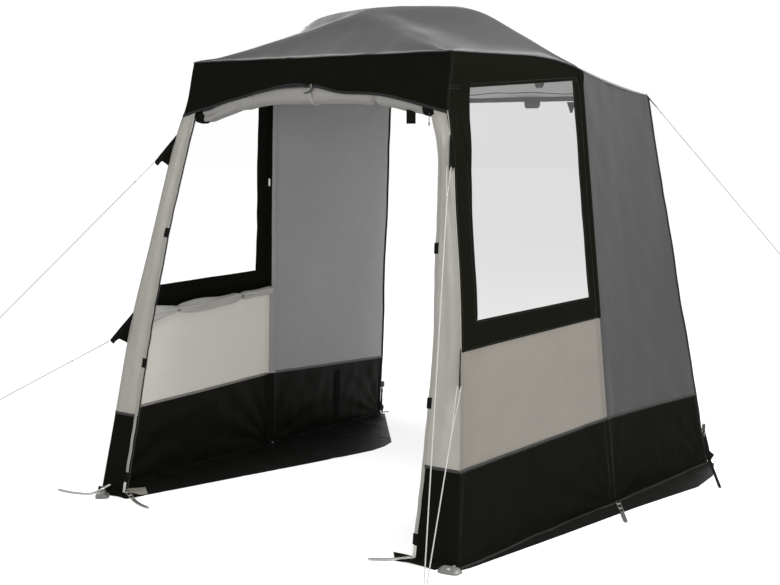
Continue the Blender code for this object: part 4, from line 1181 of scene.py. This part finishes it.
def row_of(name, faces, piece, step, finish):
    """Rows of one small piece along one or more paths, as one plain mesh."""
    edges, first = [], 0
    for points, _ in faces:
        edges += [(k, k + 1) for k in range(first, first + len(points) - 1)]
        first += len(points)
    mesh = bpy.data.meshes.new(name)
    mesh.from_pydata(np.concatenate([points for points, _ in faces]).tolist(), edges, [])
    facing = np.concatenate([normals for _, normals in faces]).astype(np.float32)
    mesh.attributes.new("facing", "FLOAT_VECTOR", "POINT").data.foreach_set("vector", facing.ravel())
    guide = add_object(name + "_path", mesh)
    rows = guide.modifiers.new("row", "NODES")
    rows.node_group = ROW_TREE
    sockets = {item.name: item.identifier for item in ROW_TREE.interface.items_tree}
    rows[sockets["Step"]], rows[sockets["Piece"]], rows[sockets["Finish"]] = step, piece, finish
    plain = bpy.data.meshes.new_from_object(guide.evaluated_get(bpy.context.evaluated_depsgraph_get()))
    bpy.data.objects.remove(guide, do_unlink=True)
    plain.name = name
    settle(add_object(name, plain))


def stitch_rows(word, side):
    """Stitching beside the seams of one side wall."""
    rows = [wall_line(side, bay, seam, trim=trim) for bay, seam in MUD_SEAMS for trim in (-0.009, 0.009)]
    for trim in (-STITCH_OFF, STITCH_OFF):
        rows += [wall_line(side, front_bay, between(SURROUND_LOW_Z), 0.03, 0.98, trim=trim),
                 wall_line(side, front_bay, between(FILM_HIGH_Z), 0.01, 0.98, trim=trim + FILM_STITCH_OFF)]
    rows.append(wall_line(side, front_bay, film_sill(side), FILM_START, FILM_END, trim=-FILM_STITCH_OFF))
    rows += [wall_run(side, bay, share, low, high, count) for bay, share, low, high, count in (
        (front_bay, FILM_START - 0.008, 0.92, 1.83, 60), (front_bay, FILM_END + 0.008, 0.92, 1.83, 60),
        (front_bay, 0.976, 0.02, 1.86, 110), (rear_bay, 0.012, 0.02, 1.86, 110),
        (rear_bay, 0.020, 0.02, 1.86, 110), (rear_bay, 0.978, 0.02, 1.79, 110),
        (front_bay, 0.016, 0.03, 1.93, 110))]
    rows = [(points + normals * 2 * LAID, normals) for points, normals in rows]
    row_of("wall_stitches_" + word, rows, STITCH, STITCH_STEP, THREAD)


def make_roof_trim():
    """Sleeves sewn inside the roof, under its hips, with stitching on both sides."""
    w = np.linspace(-0.985, 0.985, 150)
    rows = []
    for name, start_side in (("a", -1), ("b", 1)):
        points = roof_point(-start_side * w, w)
        up = hip_normals(-start_side * w, w)
        across = np.cross(up, unit(np.gradient(points, axis=0)))
        lay("roof_sleeve_" + name, (points, up), -sleeve_profile(*ROOF_SLEEVE), GREY_CLOTH, "grey_cloth",
            lift=-SHEET - (0.0002 if start_side < 0 else 0.0012))
        rows += [(points + across * off - up * (SHEET + 0.0012), -up)
                 for off in (-SLEEVE_STITCH_OFF, SLEEVE_STITCH_OFF)]
    row_of("roof_stitches", rows, STITCH, STITCH_STEP, THREAD)


def hip_normals(u, v, step=0.03):
    """Upward normals along a hip, averaged over the cloth on both sides of it."""
    a = roof_under(u + step, v) - roof_under(u - step, v)
    b = roof_under(u, v + step) - roof_under(u, v - step)
    normal = unit(np.cross(a, b))
    return normal * np.sign(normal[:, 2:])


def patch_way(side, height):
    """The direction in which a patch stands out from a front leg."""
    turn = PATCH_TURN[side][0 if height > 1 else 1]
    return np.array((side * math.sin(turn), -math.cos(turn), 0))


def peg_tie(start, peg, below):
    """Where a guy meets its peg, on the side that faces its start."""
    head = spot(*peg, PEG_TALL - 0.006 - below)
    return head + unit((start - head) * (1, 1, 0)) * (PEG_RADIUS + CORD_RADIUS)


def make_guy(name, node, start, end, doubled, across):
    """A taut guy: two strands from its patch to a knot, one line on to the peg, and a knot near the peg."""
    run = unit(end - start)
    knot = start + run * doubled
    t = np.linspace(0, 1, 12)[:, None]
    aside = across * (arc(t * 0.5 + 0.5) * 0.0065 + 0.0009)
    parts = [rod("strand", start + (knot - start) * t + aside * way, CORD_RADIUS * 0.95, PALE_CORD, sides=8)
             for way in (-1, 1)]
    line = knot + (end - knot) * np.linspace(0, 1, 30)[:, None]
    parts.append(rod("line", line, CORD_RADIUS * 1.4, PALE_CORD, sides=8))
    for place in (knot - run * 0.006, end - run * 0.024):
        parts.append(turned("knot", place, run, KNOT_OUTLINE, PALE_CORD, 12))
    join(name, parts, node)


def make_patch(name, node, side, height, reach):
    """A hollowed triangle of cloth on the front leg with a webbing edge that ends at the guy."""
    out = patch_way(side, height)
    normal = np.cross(out, (0, 0, 1.0)) * side
    corners = np.array(PATCH_OUTLINE) * (reach / GUY_REACH, 1)
    t = np.linspace(0, 1, 34)
    away, up = (np.interp(t, (0, 0.30, 0.48, 0.58, 1.0), corners[:, axis]) for axis in (0, 1))
    foot = front_leg(side, height)
    inner = front_leg(side, height + mix(corners[0, 1], corners[-1, 1], t)) + out * 0.0004
    outer = foot + out * away[:, None] + (front_leg(side, height + up) - foot)
    k = np.linspace(0, 1, 9)
    cup = 0.0022 * arc(k) * arc(t)[:, None]
    grid = inner[:, None] + (outer - inner)[:, None] * k[:, None] + normal * (0.0006 + cup)[..., None]
    cloth(name, (grid, np.broadcast_to(normal, grid.shape)), (BLACK_CLOTH, BLACK_CLOTH), node)
    top, tip = outer[-1], (outer[16] + outer[19]) / 2 + out * 0.002
    path = top + (tip - top) * np.linspace(0.02, 1, 12)[:, None]
    drop = unit(np.cross(normal, tip - top))
    drop = drop * -np.sign(drop[2])
    sweep(name + "_webbing", path + drop * 0.008, drop, strap_profile(*PATCH_EDGE, PATCH_EDGE[1] / 2),
          BLACK_WEBBING, "black_cloth")


def make_guys():
    """Patches, guys and the pegs that they are tied to."""
    levels = (("upper", GUY_HIGH_Z, 0.074, GUY_BELOW_HEAD[0], 0.12),
              ("lower", GUY_LOW_Z, 0.088, GUY_BELOW_HEAD[1], 0.19))
    for (word, side), peg in zip(SIDES, (FRONT_LEFT_PEG, FRONT_RIGHT_PEG)):
        for level, height, reach, below, doubled in levels:
            place = word + "_" + level
            make_patch("guy_patch_cloth_" + place, "guy_patch_" + place, side, height, reach)
            tip = front_leg(side, height) + patch_way(side, height) * reach
            end = peg_tie(tip, peg, below)
            make_guy("guy_line_" + place, "guy_" + place, tip, end, doubled,
                     unit(np.cross(end - tip, (side, -1, 0))))
        rear = rear_edge(side, REAR_TOP_Z) + np.array((side * 0.0022, 0.0022, -0.006))
        end = peg_tie(rear, (side * REAR_PEG[0], REAR_PEG[1]), GUY_BELOW_HEAD[0])
        run = unit(end - rear)
        tab = rear + run * np.linspace(-0.004, 0.060, 10)[:, None]
        strap("rear_guy_tab_" + word, (tab, (side * 0.4, 0.2, 1.0)), GUY_TAB, BLACK_WEBBING, "black_cloth",
              -0.0010)
        make_guy("guy_line_rear_" + word, "guy_rear_" + word, rear, end, 0.10, unit(np.cross(run, UP)))
    for name, place in (("front_left", FRONT_LEFT_PEG), ("front_right", FRONT_RIGHT_PEG),
                        ("rear_left", (-REAR_PEG[0], REAR_PEG[1])), ("rear_right", REAR_PEG)):
        turned("steel_peg_" + name, spot(*place, 0.0), UP, PEG_OUTLINE, PEG_STEEL, 24, "peg_steel",
               "guy_peg_" + name)


def make_foot(word, side, centre, turn):
    """A wedge-shaped shoe under the leg: ribbed at one end, riveted, with the end of the pole in it."""
    long, deep = FOOT_WEDGE
    c, s = math.cos(turn), math.sin(turn)
    rings = []
    for k in np.linspace(-1, 1, 15):
        shut = max((1 - abs(k) ** 5) ** 0.4 if abs(k) < 1 else 0, 0.55)
        rib = 0.0011 if abs(k) > 0.55 and int(round((abs(k) - 0.55) / 0.0715)) % 2 else 0
        ring = [(y * deep * shut, z * shut) for y, z in (
            (-0.5, 0), (0.5, 0), (0.5, 0.006), (0.16, 0.0215 + rib), (-0.12, 0.0200 + rib), (-0.46, 0.0085),
            (-0.5, 0.005))]
        rings.append([(c * k * long / 2 - s * y, s * k * long / 2 + c * y, z) for y, z in ring])
    middle = spot(*centre, 0.0)
    shoe = add_rings("shoe", np.array(rings) + middle, FOOT_PLASTIC, sharp=28)
    rivet = turned("rivet", middle + (s * deep * 0.24, -c * deep * 0.24, 0.0165), (s * 0.45, -c * 0.45, 0.9),
                   RIVET_OUTLINE, POLE_STEEL, 14)
    stub = curve_through((spot(*centre, 0.011), leg_axis(side, 0.012, front_leg, 1)), 6)
    stub = rod("stub", stub, POLE_RADIUS * 0.8, POLE_STEEL, sides=14, across=AHEAD)
    join("foot_shoe_" + word, [shoe, rivet, stub], "foot_plate_" + word)


def make_ladder_peg(name, places, split, wide, thick):
    """A steel peg lying on the ground: two rods joined by rungs that merge into a rounded tongue."""
    count = 40
    path = curve_through(on_ground(places), count)
    across = unit(np.cross(UP, unit(np.gradient(path, axis=0))))
    end = int(split * count)
    close = np.ones((end + 2, 1))
    close[-4:, 0] = (0.9, 0.72, 0.5, 0.3)
    aside = across[:end + 2] * (wide / 2 - thick / 2) * close
    parts = [rod("rod", path[:end + 2] + aside * way, thick / 2, PEG_STEEL) for way in (-1, 1)]
    for at in (int(end * 0.22), int(end * 0.62)):
        rung = path[at] + across[at] * np.linspace(-wide / 2, wide / 2, 3)[:, None]
        parts.append(rod("rung", rung, thick / 2, PEG_STEEL, sides=8))
    share = np.maximum(0, (np.linspace(0, 1, count - end) - 0.86) / 0.14)
    size = np.sqrt(np.clip(1 - share ** 2, 0.05, 1))
    parts.append(sweep("tongue", path[end:], across[end:], strap_profile(wide * 0.92, thick, thick / 2),
                       PEG_STEEL, sizes=wide_only(size)))
    join(name, parts)


def on_ground(points):
    return [spot(x, depth, z) for x, depth, z in points]


def small_sheet(name, corners, finish, wave=0.0):
    """A small four-cornered piece of cloth: corners run round it, the first two along its lower edge."""
    a, b, c, d = np.array(on_ground(corners))
    s, t = (grid[..., None] for grid in np.meshgrid(np.linspace(0, 1, 12), np.linspace(0, 1, 10)))
    grid = mix(mix(a, b, s), mix(d, c, s), t)
    normal = grid_normals(grid)
    grid = grid + normal * (wave * (1 + swell(grid, 0.09, 91)) * arc(s[..., 0]))[..., None]
    cloth(name, (grid, normal), (finish, finish))


def make_ground_pieces():
    """Pegs, straps, buckles and hems on the ground round the tent."""
    for word, side in SIDES:
        make_ladder_peg("side_peg_" + word, [(side * x, depth, z) for x, depth, z in SIDE_PEG], 0.45, 0.021,
                        0.0055)
        hem = [(side * x - 0.022, depth, z) for x, depth, z in FRONT_HEM]
        small_sheet("front_hem_" + word, hem if side > 0 else [hem[k] for k in (1, 0, 3, 2)], BLACK_CLOTH,
                    wave=0.002)
        make_rear_buckle(word, side)
        ground = curve_through([spot(side * x, depth, z) for x, depth, z in REAR_STRAP], 24)
        strap("rear_ground_strap_" + word, (ground, UP), GROUND_STRAP, BLACK_WEBBING, "black_cloth", -0.0015)
    for name, places, split, wide, thick in FRONT_PEGS:
        make_ladder_peg("front_peg_" + name, places, split, wide, thick)
    small_sheet("khaki_corner_left", KHAKI_CORNER, KHAKI_CLOTH)


def make_rear_buckle(word, side):
    """The strap that spreads from the foot of the rear edge to the ground, with its ring and buckle."""
    down = [rear_edge(side, z) + np.array((side * 0.004, 0.012, 0)) for z in (0.165, 0.120, 0.075, 0.045)]
    path = curve_through(down + [spot(side * 1.033, 2.208, 0.014)], 20)
    flare = sweep("flare", path, (side * 0.35, 1, 0), strap_profile(*REAR_FLARE), BLACK_WEBBING,
                  sizes=wide_only(np.linspace(0.8, 2.3, 20)))
    at = rear_edge(side, 0.178) + np.array((side * 0.004, 0.020, 0))
    buckle = rod("buckle", [at + np.array((0, 0, k)) for k in (-0.017, -0.011, 0.011, 0.017)], 0.012,
                 DARK_PLASTIC, sides=12, across=AHEAD,
                 sizes=((0.9, 0.45), (1.35, 0.6), (1.3, 0.6), (0.8, 0.45)))
    turn = np.linspace(0, 2 * math.pi, 25)
    ring = np.stack((0 * turn, 0.008 * np.cos(turn), 0.016 * np.sin(turn)), -1)
    ring = rod("ring", rear_edge(side, 0.138) + np.array((side * 0.004, 0.016, 0)) + ring, 0.0018, PEG_STEEL,
               sides=8, across=ALONG)
    join("rear_buckle_" + word, [flare, buckle, ring])


def make_small_parts():
    """Loops, straps, hook, pull, toggle and clips."""
    for word, side in SIDES:
        x = side * np.array(ROLL_LOOP_X) - ROLL_LOOP_SHIFT[side]
        z = roll_height(x)
        path = spot(x, front_depth(z) + DOOR_ROLL_BEHIND - 0.006, z + side * 0.006)
        rod("roll_loop_" + word, path, 0.033, BLACK_WEBBING, "black_cloth", sides=20,
            sizes=(0.5, 0.9, 1.06, 1.04))
    points = spot(0.507, front_depth(1.70) + 0.052, np.linspace(1.738, 1.668, 10))
    strap("hanging_webbing", (points, (0.25, -1.0, 0)), HANGING_WEBBING, BLACK_WEBBING, "black_cloth")
    top = spot(0.652, front_depth(1.70) - 0.022, 1.712) - np.array((0.004, 0, 0))
    down = np.array((0, 0, -1))
    chain = [turned("bead", top + down * (0.004 + BEAD_STEP * k), down, BEAD_OUTLINE, DARK_PLASTIC, 8)
             for k in range(BEADS)]
    pull = [top + down * k for k in (0.038, 0.042, 0.050, 0.053)]
    chain.append(rod("pull", pull, 0.003, DARK_PLASTIC, sides=8, across=ALONG,
                     sizes=((0.6, 0.4), (1.1, 0.5), (1.3, 0.5), (0.7, 0.4))))
    join("zip_pull", chain)
    turn = np.linspace(-0.35 * math.pi, 1.2 * math.pi, 26)
    centre = spot(-0.010, front_depth(DOOR_ROLL_Z) + DOOR_ROLL_BEHIND, DOOR_ROLL_Z)
    loop = np.stack((TIE_PITCH * turn, -TIE_RADIUS * np.sin(turn), TIE_RADIUS * np.cos(turn)), -1)
    loop = centre + loop
    strap("door_tie", (loop, unit(loop - centre)), DOOR_TIE, BEIGE_CLOTH, "beige_cloth")
    hook = curve_through(centre + np.array((-0.004, -0.051, 0.008)) + np.array(HOOK), 16)
    rod("door_tie_hook", hook, 0.0050, DARK_PLASTIC, "black_cloth", across=AHEAD,
        sizes=np.linspace(1.2, 0.55, 16))
    points, normals = wall_run(-1, front_bay, 0.965, *TOGGLE_Z, 8)
    rod("toggle_left", points - normals * 0.006, 0.0055, PALE_PLASTIC, "pale_cord", sides=12, across=AHEAD,
        sizes=(0.5, 0.9, 1, 1, 1, 1, 0.9, 0.5))
    make_rear_top()


def make_rear_top():
    """The bound rear edge of the roof, the sleeve round its pole, and the clips that hang there."""
    u = np.linspace(-0.995, 0.995, 110)
    rod("rear_roof_binding", rear_roof_point(u, 1.0) - np.array((0, 0, SHEET / 2)), ROOF_PIPING, BLACK_PIPING,
        "black_cloth")
    seam = rear_roof_point(u * 0.99, REAR_SEAM_SHARE) - np.array((0, 0, SHEET + ROOF_SEAM / 2))
    rod("rear_roof_seam", seam, ROOF_SEAM, SEAM_TAPE, "grey_cloth", sides=8)
    path = rear_pole_line(np.linspace(-REAR_SLEEVE_HALF, REAR_SLEEVE_HALF, 120))
    rod("rear_pole_sleeve", path, REAR_SLEEVE_RADIUS, SLEEVE_CLOTH, "black_cloth", sides=14,
        sizes=1 + 0.05 * swell(path, 0.10, 95))
    clip = rear_pole_line(np.array(REAR_CLIP_X)) - np.array((0, 0.004, 0.020))
    rod("rear_clip", clip, REAR_CLIP_RADIUS, DARK_PLASTIC, "black_cloth",
        sizes=((0.8, 0.5), (1.4, 0.85), (1.4, 0.85), (0.8, 0.5)))
    depth = REAR_TOP[1] - POLE_RADIUS
    for name, x, back, high, low, wide, narrow in (("upper", 0.430, 0.430, 1.886, 1.846, 0.070, 0.036),
                                                   ("lower", 0.368, 0.012, 1.790, 1.736, 0.052, 0.010)):
        face = spot(x, depth - back, np.linspace(high, low, 5)), (0, -1, 0)
        strap("rear_tab_" + name, face, (wide, REAR_TAB_THICK), BLACK_WEBBING, "black_cloth",
              sizes=wide_only(np.linspace(1, narrow / wide, 5)))


def make_stage():
    """Floor, world and lights."""
    mesh = bpy.data.meshes.new("floor")
    corners = ((-1, -1), (1, -1), (1, 1), (-1, 1))
    mesh.from_pydata([(x * FLOOR_REACH, y * FLOOR_REACH, FLOOR_Z) for x, y in corners], [], [(0, 1, 2, 3)])
    floor, shader, _, wire = new_finish("studio_floor")
    wire(shader, {"Base Color": (0.36, 0.36, 0.36, 1), "Emission Color": (1.0, 1.0, 1.0, 1),
                  "Emission Strength": 0.68, "Roughness": 0.9, "Specular IOR Level": 0.0})
    add_object("studio_floor", mesh, [floor])
    world = bpy.data.worlds.new("studio")
    bpy.context.scene.world = world
    world.use_nodes = True
    wire(world.node_tree.nodes["Background"], {"Color": (1.0, 1.0, 1.0, 1), "Strength": 1.0})
    for name, place, aim, size, power, tint in (
            ("key_light", (4.2, -5.6, 1.9), (-0.2, 0.0, 1.0), 1.8, 180.0, (1.0, 1.0, 0.99)),
            ("top_light", (4.0, -0.2, 5.6), (0.3, 0.2, 1.9), 2.4, 700.0, (1.0, 1.0, 1.0)),
            ("front_light", (-1.6, -7.5, 3.0), (0.0, 0.0, 1.0), 3.0, 160.0, (1.0, 1.0, 1.0))):
        lamp = bpy.data.lights.new(name, "AREA")
        lamp.shape, lamp.size, lamp.energy, lamp.color = "DISK", size, power, tint
        made = add_object(name, lamp)
        made.location = place
        made.rotation_euler = (Vector(aim) - Vector(place)).to_track_quat("-Z", "Y").to_euler()


def make_camera():
    """The photograph's camera."""
    camera = bpy.data.cameras.new("camera")
    camera.sensor_width, camera.lens = SENSOR, FOCAL_PIXELS / FRAME_WIDE * SENSOR
    eye = add_object("camera", camera)
    eye.location, eye.rotation_euler = CAMERA_PLACE, (math.pi / 2 - CAMERA_DOWN, 0, CAMERA_AZIMUTH)
    bpy.context.scene.camera = eye
    bpy.context.scene.view_settings.view_transform = "Standard"


ROW_TREE = row_tree()
STITCH = stitch_piece(0.0058, 0.0011)
TOOTH = tooth_piece(0.0024, 0.0050, 0.0022)

make_camera()
make_stage()
for side_word, side_sign in SIDES:
    make_side_wall(side_word, side_sign)
    make_wall_trim(side_word, side_sign)
    stitch_rows(side_word, side_sign)
make_flap("left", -1, LEFT_FLAP, 44, 0.0075)
make_flap("right", 1, RIGHT_FLAP_FRONT + RIGHT_FLAP, 20, 0.0012)
make_front()
make_front_trim()
make_roof()
make_roof_trim()
make_rolls()
make_frame()
make_guys()
make_foot("left", -1, (-0.893, -0.078), -0.75)
make_foot("right", 1, (0.977, -0.034), 0.12)
make_ground_pieces()
make_small_parts()
for template in (STITCH, TOOTH):
    bpy.data.objects.remove(template, do_unlink=True)
